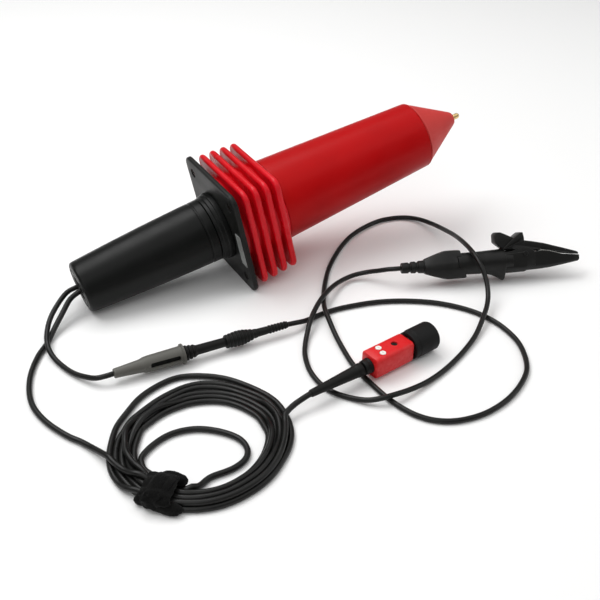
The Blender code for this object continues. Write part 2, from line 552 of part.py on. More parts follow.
def make_bnc():
    bnc = frame_empty("bnc_axis", BNC_ORIGIN, (0, 0, BNC_HEADING))
    side = 15.5
    length = 33.0
    boot = [(-6.6, 0), (-6.6, 4.2), (-10.0, 4.2), (-47.6, 2.4), (-47.6, 0)]
    boot_axis = frame_empty("boot_axis", (0, 0, 0), (0, BOOT_LEAN, BOOT_TURN), bnc)
    turned("bnc_boot", boot, "black_rubber", boot_axis, 24)
    rod("bnc_neck", -5.8, -GAP, 5.4, "black_rubber", bnc, 20)
    seam = -1.0
    for name, low, high in (("box_lower", -side / 2, seam - GAP / 2),
                            ("box_upper", seam + GAP / 2, side / 2)):
        shell = rounded_box(name, (length, side, side), (length / 2, 0, 0), "red_box", bnc,
                            2.6, 2, only_x=True)
        hollow = rounded_box(name + "_hollow", (length - 3.0, side - 3.0, side - 3.0),
                             (length / 2, 0, 0), "", bnc, 0, cutter=True)
        combine(shell, hollow)
        height = 40.0
        away = high + height / 2 if name == "box_lower" else low - height / 2
        slab = rounded_box(name + "_slab", (60.0, 40.0, height), (length / 2, 0, away), "", bnc,
                           0, cutter=True)
        combine(shell, slab)
        if name == "box_upper":
            for trimmer, (x, y) in TRIMMER_PLACES.items():
                hole = turned(trimmer + "_hole", [(12.0, 0), (12.0, 2.3), (5.0, 2.3), (5.0, 0)],
                              "", bnc, 20, along=False, cutter=True, location=(x, y, 0))
                combine(shell, hole)
    rounded_box("compensation_board", (29.0, 11.6, 1.2), (length / 2, 0, -2.0), "board_green",
                bnc, 0)
    for trimmer, (x, y) in TRIMMER_PLACES.items():
        sunk = trimmer == "trimmer_offset"
        finish = "dark_screw" if sunk else "white_plastic"
        top = 6.9 if sunk else 7.9
        spindle = [(top, 0), (top, 2.0), (top - 1.5, 2.0), (top - 1.5, 1.6), (-1.1, 1.6), (-1.1, 0)]
        screw = turned(trimmer, spindle, finish, bnc, 20, along=False, location=(x, y, 0))
        slot = rounded_box(trimmer + "_slot", (0.7, 2.4, 1.2), (x, y, top), "", bnc, 0,
                           cutter=True)
        combine(screw, slot)
    start = length + GAP
    barrel = [(start + 20.5, 4.85), (start + 3.0, 4.85), (start + 3.0, 6.2), (start, 6.2),
              (start, 3.0), (start + 4.0, 3.0), (start + 4.0, 4.15), (start + 20.5, 4.15)]
    turned("bnc_barrel", barrel, "steel", bnc, 20, closed=True)
    tube_wall("bnc_insulator", start + 4.3, start + 14.0, 3.6, 0.95, "insulator", bnc, 16)
    rod("bnc_pin", start, start + 17.0, 0.65, "brass", bnc, 12)
    collar = [(start + 22.0, 9.3), (start + 21.2, 10.2), (start + 4.6, 10.2), (start + 4.1, 9.7),
              (start + 0.3, 9.7), (start + 0.3, 6.6), (start + 3.3, 6.6), (start + 3.3, 5.2),
              (start + 16.0, 5.2), (start + 16.0, 6.6), (start + 22.0, 6.6)]
    turned("bnc_collar", collar, "guard_plastic", bnc, 24, closed=True)


def main():
    body = frame_empty("body_axis", BODY_ORIGIN, (0, -BODY_TILT, 0))
    make_handle(body)
    make_guard(body)
    make_barrel(body)
    make_electronics(body)
    socket = make_socket()
    make_plug(socket)
    make_clip()
    make_coil()
    make_bnc()
    bpy.context.view_layer.update()


main()
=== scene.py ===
"""Looks of the high-voltage oscilloscope probe: camera, cords, detailed shells and
finishes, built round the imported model. Lengths are in metres unless a name or a helper
says millimetres."""

import math

import bmesh
import bpy
import numpy as np
from mathutils import Matrix, Vector, noise


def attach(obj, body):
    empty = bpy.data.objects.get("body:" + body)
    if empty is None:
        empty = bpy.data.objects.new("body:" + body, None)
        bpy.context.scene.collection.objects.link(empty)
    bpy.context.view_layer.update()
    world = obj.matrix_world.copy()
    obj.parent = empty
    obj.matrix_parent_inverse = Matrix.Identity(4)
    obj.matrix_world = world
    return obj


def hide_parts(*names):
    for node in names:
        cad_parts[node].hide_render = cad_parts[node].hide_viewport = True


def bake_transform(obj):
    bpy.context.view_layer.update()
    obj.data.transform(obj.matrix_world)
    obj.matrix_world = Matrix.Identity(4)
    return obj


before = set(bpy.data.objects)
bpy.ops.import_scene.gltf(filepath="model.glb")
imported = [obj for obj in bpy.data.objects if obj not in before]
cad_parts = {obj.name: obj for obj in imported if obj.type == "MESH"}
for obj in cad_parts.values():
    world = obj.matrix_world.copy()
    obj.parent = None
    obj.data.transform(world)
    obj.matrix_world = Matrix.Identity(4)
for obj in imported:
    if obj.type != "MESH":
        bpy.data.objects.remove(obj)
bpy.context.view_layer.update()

MM = 0.001

# Places shared with the CAD model
BODY_ORIGIN = (-0.16013, 0.0, 0.0185)
BODY_TILT = math.radians(11.406)
SOCKET_ORIGIN = (-0.1684, -0.0902, 0.0076)
SOCKET_HEADING = math.radians(-2.47)
PLUG_OUT = 48.0
BNC_ORIGIN = (-0.0214, -0.1644, 0.0104)
BNC_HEADING = math.radians(9.0)
BOOT_LEAN = math.radians(-1.0)
BOOT_TURN = math.radians(-1.5)
TRIMMERS = {"trimmer_low": ("low_trimmer", 10.0, 3.0),
            "trimmer_high": ("high_trimmer", 8.8, -2.8),
            "trimmer_offset": ("offset_trimmer", 21.4, 0.2)}  # body and place on the box
CLIP_ORIGIN = (0.0579, -0.0822, 0.0150)
CLIP_HEADING = math.radians(-20.7)
CLIP_LEAN = math.radians(60.0)
CLIP_PIVOT = (93.0, 4.6)
COIL_CENTRE = (-0.1425, -0.1685)
TIE_ANGLE = math.radians(225.0)
STRAP_R = 49.0 * MM
COAX_D = 0.0038
LEAD_D = 0.0036

PIGTAIL_ROUTE = [
    (-0.1608, 0.0030, 0.0182), (-0.1690, 0.0018, 0.0167), (-0.1790, -0.0060, 0.0135),
    (-0.1875, -0.0155, 0.0100), (-0.1935, -0.0270, 0.0068), (-0.1962, -0.0380, 0.0044),
    (-0.1958, -0.0490, 0.0027), (-0.1930, -0.0610, 0.0023), (-0.1890, -0.0722, 0.0028),
    (-0.1832, -0.0822, 0.0045), (-0.1790, -0.0876, 0.0062), (-0.1740, -0.0899, 0.0074),
    (-0.1690, -0.0902, 0.0076)]
COAX_IN_ROUTE = [
    (-0.1608, -0.0030, 0.0182), (-0.1690, -0.0050, 0.0150), (-0.1775, -0.0120, 0.0100),
    (-0.1860, -0.0200, 0.0055), (-0.1945, -0.0298, 0.0021), (-0.2040, -0.0410, 0.0021),
    (-0.2130, -0.0560, 0.0021), (-0.2185, -0.0700, 0.0021), (-0.2215, -0.0840, 0.0021),
    (-0.2215, -0.0960, 0.0021), (-0.2190, -0.1085, 0.0021), (-0.2150, -0.1195, 0.0021),
    (-0.2105, -0.1290, 0.0021), (-0.2060, -0.1362, 0.0022), (-0.2016, -0.1464, 0.0032)]
OVER_COIL_ROUTE = [
    (-0.1990, -0.1540, 0.0047), (-0.1966, -0.1620, 0.0064), (-0.1942, -0.1709, 0.0080),
    (-0.1903, -0.1796, 0.0093), (-0.1858, -0.1872, 0.0098), (-0.1821, -0.1923, 0.0098)]
INNER_LOOP_ROUTE = [
    (-0.1764, -0.1630, 0.0021), (-0.1690, -0.1590, 0.0021), (-0.1570, -0.1555, 0.0021),
    (-0.1450, -0.1570, 0.0021), (-0.1370, -0.1610, 0.0021), (-0.1290, -0.1680, 0.0021),
    (-0.1225, -0.1775, 0.0021), (-0.1212, -0.1850, 0.0021), (-0.1230, -0.1925, 0.0021),
    (-0.1282, -0.1975, 0.0021), (-0.1350, -0.1998, 0.0021), (-0.1430, -0.2005, 0.0021),
    (-0.1515, -0.2004, 0.0021)]
LOOP_END_ROUTE = [
    (-0.1812, -0.1666, 0.0021), (-0.1846, -0.1724, 0.0021)]
OFF_COIL_ROUTE = [
    (-0.1010, -0.1935, 0.0068), (-0.0953, -0.1845, 0.0066), (-0.0897, -0.1770, 0.0066),
    (-0.0848, -0.1741, 0.0070)]
COAX_OUT_ROUTE = [
    (-0.0816, -0.1728, 0.0074), (-0.0790, -0.1722, 0.0079), (-0.0750, -0.1715, 0.0086),
    (-0.0701, -0.1708, 0.0094)]
LEAD_ROUTE = [
    (-0.0441, -0.0956, 0.0074), (-0.0380, -0.0955, 0.0066), (-0.0310, -0.0938, 0.0045),
    (-0.0240, -0.0914, 0.0027), (-0.0160, -0.0894, 0.0020), (-0.0060, -0.0888, 0.0019),
    (0.0043, -0.0895, 0.0019), (0.0235, -0.0933, 0.0019), (0.0389, -0.0988, 0.0019),
    (0.0529, -0.1064, 0.0019), (0.0657, -0.1158, 0.0019), (0.0766, -0.1277, 0.0019),
    (0.0850, -0.1420, 0.0019), (0.0894, -0.1590, 0.0019), (0.0886, -0.1787, 0.0019),
    (0.0828, -0.1946, 0.0019), (0.0740, -0.2080, 0.0019), (0.0630, -0.2170, 0.0019),
    (0.0484, -0.2248, 0.0019), (0.0329, -0.2295, 0.0019), (0.0173, -0.2308, 0.0019),
    (0.0022, -0.2280, 0.0019), (-0.0090, -0.2215, 0.0019), (-0.0165, -0.2120, 0.0019),
    (-0.0210, -0.2000, 0.0019), (-0.0233, -0.1878, 0.0019), (-0.0243, -0.1759, 0.0019),
    (-0.0249, -0.1625, 0.0019), (-0.0243, -0.1487, 0.0019), (-0.0217, -0.1335, 0.0019),
    (-0.0186, -0.1175, 0.0030), (-0.0148, -0.1020, 0.0049), (-0.0110, -0.0890, 0.0060),
    (-0.0044, -0.0761, 0.0042), (0.0054, -0.0603, 0.0022), (0.0187, -0.0425, 0.0019),
    (0.0323, -0.0281, 0.0019), (0.0488, -0.0139, 0.0019), (0.0652, -0.0035, 0.0019),
    (0.0840, 0.0032, 0.0019), (0.0997, 0.0050, 0.0019), (0.1149, 0.0008, 0.0021),
    (0.1238, -0.0085, 0.0030), (0.1266, -0.0231, 0.0055), (0.1255, -0.0360, 0.0088),
    (0.1226, -0.0500, 0.0130), (0.1183, -0.0650, 0.0180), (0.1132, -0.0805, 0.0226),
    (0.1083, -0.0960, 0.0257), (0.1052, -0.1080, 0.0258), (0.1040, -0.1170, 0.0225),
    (0.1027, -0.1255, 0.0160), (0.0990, -0.1335, 0.0105), (0.0925, -0.1415, 0.0075),
    (0.0828, -0.1503, 0.0061), (0.0667, -0.1628, 0.0032), (0.0494, -0.1727, 0.0020),
    (0.0294, -0.1819, 0.0019), (0.0110, -0.1880, 0.0024), (-0.0060, -0.1916, 0.0042),
    (-0.0221, -0.1928, 0.0061), (-0.0310, -0.1905, 0.0050), (-0.0370, -0.1860, 0.0032),
    (-0.0434, -0.1785, 0.0020), (-0.0494, -0.1700, 0.0019), (-0.0527, -0.1610, 0.0019),
    (-0.0535, -0.1510, 0.0019), (-0.0521, -0.1395, 0.0019), (-0.0477, -0.1265, 0.0019),
    (-0.0421, -0.1164, 0.0022), (-0.0345, -0.1060, 0.0040), (-0.0267, -0.0970, 0.0068),
    (-0.0150, -0.0855, 0.0080), (-0.0034, -0.0765, 0.0084), (0.0100, -0.0668, 0.0062),
    (0.0215, -0.0612, 0.0046), (0.0317, -0.0600, 0.0048), (0.0400, -0.0640, 0.0070),
    (0.0456, -0.0710, 0.0105), (0.0498, -0.0770, 0.0137), (0.0535, -0.0804, 0.0149),
    (0.0571, -0.0819, 0.0150)]


def placed(origin, *turns):
    matrix = Matrix.Translation(origin)
    for angle, axis in turns:
        matrix = matrix @ Matrix.Rotation(angle, 4, axis)
    return matrix


BODY = placed(BODY_ORIGIN, (-BODY_TILT, "Y"))
SOCKET = placed(SOCKET_ORIGIN, (SOCKET_HEADING, "Z"))
BNC = placed(BNC_ORIGIN, (BNC_HEADING, "Z"))
BOOT = placed(BNC_ORIGIN, (BNC_HEADING + BOOT_TURN, "Z"), (BOOT_LEAN, "Y"))
CLIP = placed(CLIP_ORIGIN, (CLIP_HEADING, "Z"), (CLIP_LEAN, "X"))
HINGE = CLIP @ Matrix.Translation((CLIP_PIVOT[0] * MM, CLIP_PIVOT[1] * MM, 0))
WORLD = Matrix.Identity(4)

# ---------------------------------------------------------------- camera and light

CAMERA_PLACE = Vector((-0.3000, -0.5746, 0.3946))
CAMERA_TARGET = Vector((-0.0053, -0.0425, -0.0163))
CAMERA_LENS = 57.93
CAMERA_ROLL = math.radians(0.227)


def make_camera():
    data = bpy.data.cameras.new("camera")
    data.lens = CAMERA_LENS
    data.sensor_width = 36.0
    data.clip_start = 0.01
    camera = bpy.data.objects.new("camera", data)
    bpy.context.scene.collection.objects.link(camera)
    aim = (CAMERA_TARGET - CAMERA_PLACE).to_track_quat("-Z", "Y").to_matrix().to_4x4()
    camera.matrix_world = (Matrix.Translation(CAMERA_PLACE) @ aim
                           @ Matrix.Rotation(CAMERA_ROLL, 4, "Z"))
    bpy.context.scene.camera = camera


def area_light(name, place, target, size, power):
    data = bpy.data.lights.new(name, "AREA")
    data.shape = "RECTANGLE"
    data.size, data.size_y = size
    data.energy = power
    light = bpy.data.objects.new(name, data)
    bpy.context.scene.collection.objects.link(light)
    aim = (Vector(target) - Vector(place)).to_track_quat("-Z", "Y").to_matrix().to_4x4()
    light.matrix_world = Matrix.Translation(place) @ aim


def make_studio():
    world = bpy.data.worlds.new("studio")
    world.use_nodes = True
    background = world.node_tree.nodes["Background"]
    background.inputs["Color"].default_value = (1.0, 1.0, 1.0, 1.0)
    background.inputs["Strength"].default_value = 0.22
    bpy.context.scene.world = world
    bpy.context.scene.view_settings.view_transform = "Standard"
    area_light("key", (-0.35, 0.45, 1.10), (0.0, -0.05, 0.0), (1.3, 0.7), 10.0)
    area_light("overhead", (0.0, -0.1, 1.5), (0.0, -0.1, 0.0), (2.4, 2.4), 15.0)
    area_light("fill", (-0.9, -0.9, 0.9), (0.0, -0.05, 0.03), (0.9, 0.9), 3.0)
    area_light("side", (1.1, -0.5, 0.7), (0.0, -0.05, 0.03), (0.7, 0.9), 2.5)
    mesh = bpy.data.meshes.new("floor")
    shape = bmesh.new()
    bmesh.ops.create_grid(shape, x_segments=1, y_segments=1, size=4.0)
    shape.to_mesh(mesh)
    shape.free()
    floor = bpy.data.objects.new("floor", mesh)
    bpy.context.scene.collection.objects.link(floor)
    material = bpy.data.materials.new("floor_pale")
    material.use_nodes = True
    shader = material.node_tree.nodes["Principled BSDF"]
    shader.inputs["Base Color"].default_value = (0.93, 0.93, 0.925, 1)
    shader.inputs["Roughness"].default_value = 0.75
    mesh.materials.append(material)


make_camera()
make_studio()

# ---------------------------------------------------------------- finishes


class Finish:
    """A node material under construction, in object coordinates, in metres."""

    def __init__(self, name, colour, roughness, metallic=0.0, specular=0.2, coat=0.0,
                 sheen=0.0):
        self.material = bpy.data.materials.new(name)
        self.material.use_nodes = True
        self.tree = self.material.node_tree
        self.shader = self.tree.nodes["Principled BSDF"]
        self.colour = (*colour, 1.0)
        uniform = {"Base Color": self.colour, "Roughness": roughness, "Metallic": metallic,
                   "Specular IOR Level": specular, "Coat Weight": coat, "Coat Roughness": 0.1,
                   "Sheen Weight": sheen}
        for label, value in uniform.items():
            self.socket(label).default_value = value
        self.place = self.node("ShaderNodeTexCoord").outputs["Object"]
        self.height = None

    def node(self, kind, **values):
        made = self.tree.nodes.new(kind)
        for key, value in values.items():
            setattr(made, key, value)
        return made

    def socket(self, name):
        return self.shader.inputs[name]

    def link(self, source, target):
        self.tree.links.new(source, target)
        return self

    def noise(self, scale, detail=3.0, stretch=None, rough=0.5):
        texture = self.node("ShaderNodeTexNoise")
        texture.inputs["Scale"].default_value = scale
        texture.inputs["Detail"].default_value = detail
        texture.inputs["Roughness"].default_value = rough
        vector = self.place
        if stretch:
            mapping = self.node("ShaderNodeMapping")
            mapping.inputs["Scale"].default_value = stretch
            self.link(vector, mapping.inputs["Vector"])
            vector = mapping.outputs["Vector"]
        self.link(vector, texture.inputs["Vector"])
        return texture.outputs["Fac"]

    def spread(self, value, low, high, start=0.3, end=0.7):
        made = self.node("ShaderNodeMapRange")
        made.inputs["From Min"].default_value = start
        made.inputs["From Max"].default_value = end
        made.inputs["To Min"].default_value = low
        made.inputs["To Max"].default_value = high
        self.link(value, made.inputs["Value"])
        return made.outputs["Result"]

    def blend_colour(self, factor, other):
        """Mix another colour over the base by a factor."""
        made = self.node("ShaderNodeMix", data_type="RGBA")
        links = self.socket("Base Color").links
        if links:
            self.link(links[0].from_socket, made.inputs["A"])
        else:
            made.inputs["A"].default_value = self.colour
        made.inputs["B"].default_value = (*other, 1.0)
        self.link(factor, made.inputs["Factor"])
        return self.link(made.outputs["Result"], self.socket("Base Color"))

    def vary(self, other, scale, amount=1.0, stretch=None):
        factor = self.spread(self.noise(scale, 4.0, stretch), 0.0, amount)
        return self.blend_colour(factor, other)

    def wear(self, other, amount):
        """Lighter, rubbed convex edges."""
        point = self.node("ShaderNodeNewGeometry").outputs["Pointiness"]
        edge = self.spread(point, 0.0, amount, 0.52, 0.62)
        patchy = self.spread(self.noise(260.0, 4.0), 0.2, 1.0, 0.4, 0.65)
        both = self.node("ShaderNodeMath", operation="MULTIPLY")
        self.link(edge, both.inputs[0])
        self.link(patchy, both.inputs[1])
        return self.blend_colour(both.outputs["Value"], other)

    def rough(self, low, high, scale, stretch=None):
        return self.link(self.spread(self.noise(scale, 4.0, stretch), low, high),
                         self.socket("Roughness"))

    def bump(self, value, distance, strength=1.0):
        made = self.node("ShaderNodeBump")
        made.inputs["Strength"].default_value = strength
        made.inputs["Distance"].default_value = distance
        self.link(value, made.inputs["Height"])
        if self.height:
            self.link(self.height, made.inputs["Normal"])
        self.height = made.outputs["Normal"]
        return self.link(self.height, self.socket("Normal"))


def moulded(name, colour, roughness, grain=1600.0, depth=0.00003, light=None, dark=None,
            wear=None, **options):
    """Injection-moulded plastic: fine spark grain, faint flow marks and rubbed edges."""
    finish = Finish(name, colour, roughness, **options)
    dark = dark or tuple(channel * 0.8 for channel in colour)
    light = light or tuple(min(1.0, channel * 1.15 + 0.002) for channel in colour)
    finish.vary(dark, 24.0, 0.8)
    finish.vary(light, 9.0, 0.6, (1.0, 3.0, 3.0))
    finish.rough(roughness - 0.05, roughness + 0.07, 60.0)
    finish.bump(finish.noise(grain, 2.0), depth, 0.6)
    finish.bump(finish.noise(35.0, 2.0), 0.00006, 0.35)
    if wear:
        finish.wear(wear, 0.45)
    return finish.material


def turned_metal(name, colour, roughness, wear=None):
    """Metal cut on a lathe: fine rings along X, slight tarnish."""
    finish = Finish(name, colour, roughness, metallic=1.0)
    finish.vary(tuple(channel * 0.62 for channel in colour), 220.0, 0.55)
    finish.rough(roughness - 0.08, roughness + 0.14, 500.0, (6.0, 1.0, 1.0))
    finish.bump(finish.noise(900.0, 3.0, (9.0, 0.15, 0.15)), 0.00002, 0.5)
    if wear:
        finish.wear(wear, 0.5)
    return finish.material


def jacket(name, roughness):
    """Black cable jacket, uneven in tone and lightly dusted."""
    finish = Finish(name, (0.0040, 0.0040, 0.0038), roughness, specular=0.26)
    finish.vary((0.010, 0.010, 0.009), 130.0, 0.5)
    finish.vary((0.035, 0.034, 0.031), 900.0, 0.08)
    finish.rough(roughness - 0.08, roughness + 0.10, 160.0)
    finish.bump(finish.noise(1400.0, 3.0), 0.00002, 0.45)
    return finish.material


FINISHES = {
    "handle": moulded("handle_black", (0.0035, 0.0038, 0.0035), 0.36, 1900.0, 0.00002,
                      light=(0.0045, 0.005, 0.0045), wear=(0.03, 0.03, 0.028), specular=0.16),
    "guard": moulded("guard_black", (0.0045, 0.0048, 0.0043), 0.45, 1300.0, 0.00004,
                     light=(0.009, 0.009, 0.008), wear=(0.05, 0.05, 0.048)),
    "fins": moulded("fin_red", (0.66, 0.0020, 0.008), 0.30, 1700.0, 0.00002,
                    light=(0.76, 0.006, 0.020), dark=(0.52, 0.001, 0.004),
                    wear=(0.85, 0.05, 0.08), specular=0.25),
    "barrel": moulded("barrel_red", (0.45, 0.0008, 0.0020), 0.36, 1700.0, 0.00002,
                      light=(0.46, 0.002, 0.003), dark=(0.33, 0.0003, 0.0008), specular=0.12),
    "cone": moulded("cone_red", (0.56, 0.042, 0.038), 0.50, 1200.0, 0.00004,
                    light=(0.62, 0.060, 0.054), dark=(0.46, 0.028, 0.026)),
    "rubber": moulded("soft_black", (0.0040, 0.0040, 0.0038), 0.50, 1500.0, 0.00004,
                      light=(0.009, 0.009, 0.008), wear=(0.030, 0.030, 0.028)),
    "clip": moulded("clip_black", (0.0042, 0.0042, 0.0038), 0.42, 1500.0, 0.00003,
                    light=(0.009, 0.009, 0.008), wear=(0.05, 0.05, 0.047), specular=0.26),
    "grey": moulded("socket_grey", (0.105, 0.102, 0.090), 0.42, 1500.0, 0.00003,
                    light=(0.135, 0.132, 0.118), wear=(0.22, 0.215, 0.20), specular=0.3),
    "box": moulded("box_red", (0.68, 0.006, 0.009), 0.36, 1500.0, 0.00003,
                   light=(0.76, 0.014, 0.018), dark=(0.54, 0.003, 0.004),
                   wear=(0.85, 0.10, 0.10), specular=0.3),
    "sleeve": moulded("sleeve_black", (0.0040, 0.0040, 0.0040), 0.55, 1200.0, 0.00005,
                      light=(0.008, 0.008, 0.008), wear=(0.035, 0.035, 0.035)),
    "white": moulded("trimmer_white", (0.86, 0.85, 0.80), 0.38),
    "dark_screw": turned_metal("screw_dark", (0.06, 0.045, 0.04), 0.45),
    "brass": turned_metal("tip_brass", (0.80, 0.58, 0.27), 0.22, (0.95, 0.80, 0.52)),
    "nickel": turned_metal("plated_nickel", (0.60, 0.59, 0.56), 0.25, (0.8, 0.8, 0.78)),
    "ceramic": moulded("glazed_ceramic", (0.74, 0.72, 0.64), 0.3, coat=0.6),
    "insulator": moulded("insulator_white", (0.80, 0.79, 0.76), 0.4),
    "board": moulded("board_green", (0.02, 0.15, 0.06), 0.35, coat=0.5),
    "lead": jacket("lead_jacket", 0.36),
    "coax": jacket("coax_jacket", 0.34),
}


def make_label_finish():
    finish = Finish("label_foil", (0.36, 0.37, 0.36), 0.38, metallic=0.3)
    finish.vary((0.17, 0.175, 0.17), 160.0, 0.7)
    finish.rough(0.26, 0.46, 300.0)
    finish.bump(finish.noise(220.0, 3.0), 0.00008, 0.5)
    return finish.material


def make_strap_finish():
    """Hook-and-loop: a dense felt of small loops."""
    finish = Finish("strap_felt", (0.0020, 0.0020, 0.0020), 0.92, specular=0.08, sheen=0.06)
    finish.vary((0.007, 0.007, 0.0065), 1300.0, 0.8)
    finish.bump(finish.noise(1900.0, 4.0, rough=0.7), 0.00035, 0.9)
    finish.bump(finish.noise(260.0, 2.0), 0.0004, 0.5)
    return finish.material


FINISHES["label"] = make_label_finish()
FINISHES["strap"] = make_strap_finish()

# ---------------------------------------------------------------- geometry helpers

SMOOTH_ANGLE = math.radians(34)


def finished(name, shape, place, finish, replaces=(), body="root"):
    """Turn a bmesh in millimetres into a placed piece that rides on a body."""
    bmesh.ops.scale(shape, vec=(MM, MM, MM), verts=shape.verts)
    bmesh.ops.recalc_face_normals(shape, faces=shape.faces)
    mesh = bpy.data.meshes.new(name)
    shape.to_mesh(mesh)
    shape.free()
    mesh.shade_smooth()
    mesh.set_sharp_from_angle(angle=SMOOTH_ANGLE)
    mesh.materials.append(FINISHES[finish])
    piece = bpy.data.objects.new(name, mesh)
    bpy.context.scene.collection.objects.link(piece)
    piece.matrix_world = place
    bpy.context.view_layer.update()
    if body:
        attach(piece, body)
    if replaces:
        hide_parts(*replaces)
    return piece


def rounded(profile, radius, closed=False, steps=4):
    """Round a profile's corners with arcs."""
    points = [Vector(point) for point in profile]
    count = len(points)
    result = []
    for i, here in enumerate(points):
        if not closed and i in (0, count - 1):
            result.append(tuple(here))
            continue
        before = points[i - 1] - here
        after = points[(i + 1) % count] - here
        reach = min(radius, before.length * 0.42, after.length * 0.42)
        opening = before.angle(after)
        if opening > math.radians(172) or reach < 1e-4:
            result.append(tuple(here))
            continue
        a = here + before.normalized() * reach
        b = here + after.normalized() * reach
        for k in range(steps + 1):
            t = k / steps
            point = a * (1 - t) ** 2 + here * 2 * t * (1 - t) + b * t * t
            result.append(tuple(point))
    return result


def ring_faces(shape, rings, closed=False):
    """Join rings of vertices with quads; a ring of one vertex is a point on the axis."""
    pairs = list(zip(rings, rings[1:]))
    if closed:
        pairs.append((rings[-1], rings[0]))
    for lower, upper in pairs:
        count = max(len(lower), len(upper))
        for k in range(count):
            after = (k + 1) % count
            corners = [lower[k % len(lower)], lower[after % len(lower)],
                       upper[after % len(upper)], upper[k % len(upper)]]
            unique = []
            for corner in corners:
                if corner not in unique:
                    unique.append(corner)
            if len(unique) > 2:
                shape.faces.new(unique)


def capped(shape, rings):
    """Join rings and close both ends with flat faces."""
    ring_faces(shape, rings)
    shape.faces.new(rings[0])
    shape.faces.new(rings[-1])
    return shape


def lathe(profile, segments=72, closed=False, fillet=0.3):
    """A solid of revolution about X from (x, radius) points in millimetres."""
    shape = bmesh.new()
    points = rounded(profile, fillet, closed) if fillet else profile
    rings = []
    for x, radius in points:
        if radius < 1e-6:
            rings.append([shape.verts.new((x, 0, 0))])
            continue
        ring = []
        for k in range(segments):
            angle = 2 * math.pi * k / segments
            ring.append(shape.verts.new((x, radius * math.cos(angle),
                                         radius * math.sin(angle))))
        rings.append(ring)
    ring_faces(shape, rings, closed)
    return shape


def smooth_route(route, spacing):
    """Evenly spaced points on the Catmull-Rom curve through the route's own points."""
    points = [Vector(point) for point in route]
    ends = [points[0] * 2 - points[1]] + points + [points[-1] * 2 - points[-2]]
    fine = []
    steps = 12
    for i in range(1, len(ends) - 2):
        p0, p1, p2, p3 = ends[i - 1:i + 3]
        for k in range(steps):
            t = k / steps
            fine.append(0.5 * ((2 * p1) + (p2 - p0) * t
                               + (2 * p0 - 5 * p1 + 4 * p2 - p3) * t * t
                               + (3 * p1 - p0 - 3 * p2 + p3) * t ** 3))
    fine.append(points[-1])
    lengths = [0.0]
    for a, b in zip(fine, fine[1:]):
        lengths.append(lengths[-1] + (b - a).length)
    count = max(3, round(lengths[-1] / spacing))
    result = []
    j = 0
    for k in range(count + 1):
        target = lengths[-1] * k / count
        while j < len(fine) - 2 and lengths[j + 1] < target:
            j += 1
        share = (target - lengths[j]) / (lengths[j + 1] - lengths[j])
        result.append(fine[j].lerp(fine[j + 1], min(share, 1.0)))
    return result


CORD_SIDES = 14


def tube(points, radius):
    """A round tube with capped ends along points in millimetres."""
    shape = bmesh.new()
    tangents = []
    for i in range(len(points)):
        tangents.append((points[min(i + 1, len(points) - 1)]
                         - points[max(i - 1, 0)]).normalized())
    side = tangents[0].orthogonal().normalized()
    rings = []
    for point, tangent in zip(points, tangents):
        side = (side - tangent * side.dot(tangent)).normalized()
        other = tangent.cross(side)
        ring = []
        for k in range(CORD_SIDES):
            angle = 2 * math.pi * k / CORD_SIDES
            ring.append(shape.verts.new(point + (side * math.cos(angle)
                                                 + other * math.sin(angle)) * radius))
        rings.append(ring)
    return capped(shape, rings)


def cord_piece(name, points, diameter, finish, body, nodes):
    """A cord as one mesh tube along points in metres."""
    line = [point / MM for point in points]
    shape = tube(line, diameter / MM / 2)
    return finished(name, shape, WORLD, finish, nodes, body=body)


# ---------------------------------------------------------------- cords

CORD_STEP = 0.0022
SMOOTHING_ROUNDS = 60
SETTLING_ROUNDS = 90
SINK = 0.00018               # how far a free point drops in a round
FREE_STEPS = 8.0             # points over which a held end gives way to the free stretch

COIL_MIDDLE = Vector((-0.1424, -0.1665, 0))
# Radius in millimetres of the coil's outermost and innermost strands, by angle in degrees
OUTER_STRAND = [(0, 54.8), (30, 55.0), (60, 58.8), (80, 60.3), (100, 56.6), (125, 52.0),
                (155, 52.0), (185, 54.4), (220, 57.0), (250, 56.6), (275, 53.6), (305, 52.6),
                (335, 54.0), (360, 54.8)]
INNER_STRAND = [(0, 41.4), (30, 36.4), (60, 33.4), (90, 32.6), (115, 33.4), (140, 37.0),
                (170, 39.4), (190, 40.6), (210, 43.6), (240, 47.6), (262, 47.8), (285, 45.0),
                (312, 42.2), (340, 42.2), (360, 41.4)]


def table(stations):
    """A function that runs straight between (x, value) stations."""
    def value(x):
        for (x0, v0), (x1, v1) in zip(stations, stations[1:]):
            if x <= x1:
                return v0 + (v1 - v0) * max(0.0, (x - x0) / (x1 - x0))
        return stations[-1][1]
    return value


outer_radius = table(OUTER_STRAND)
inner_radius = table(INNER_STRAND)


def coil_point(degrees, share, height):
    """A point on the coil: share 0 lies on its outermost strand, 1 on its innermost."""
    around = degrees % 360
    radius = outer_radius(around) * (1 - share) + inner_radius(around) * share
    angle = math.radians(degrees)
    return COIL_MIDDLE + Vector((radius * MM * math.cos(angle),
                                 radius * MM * math.sin(angle), height))


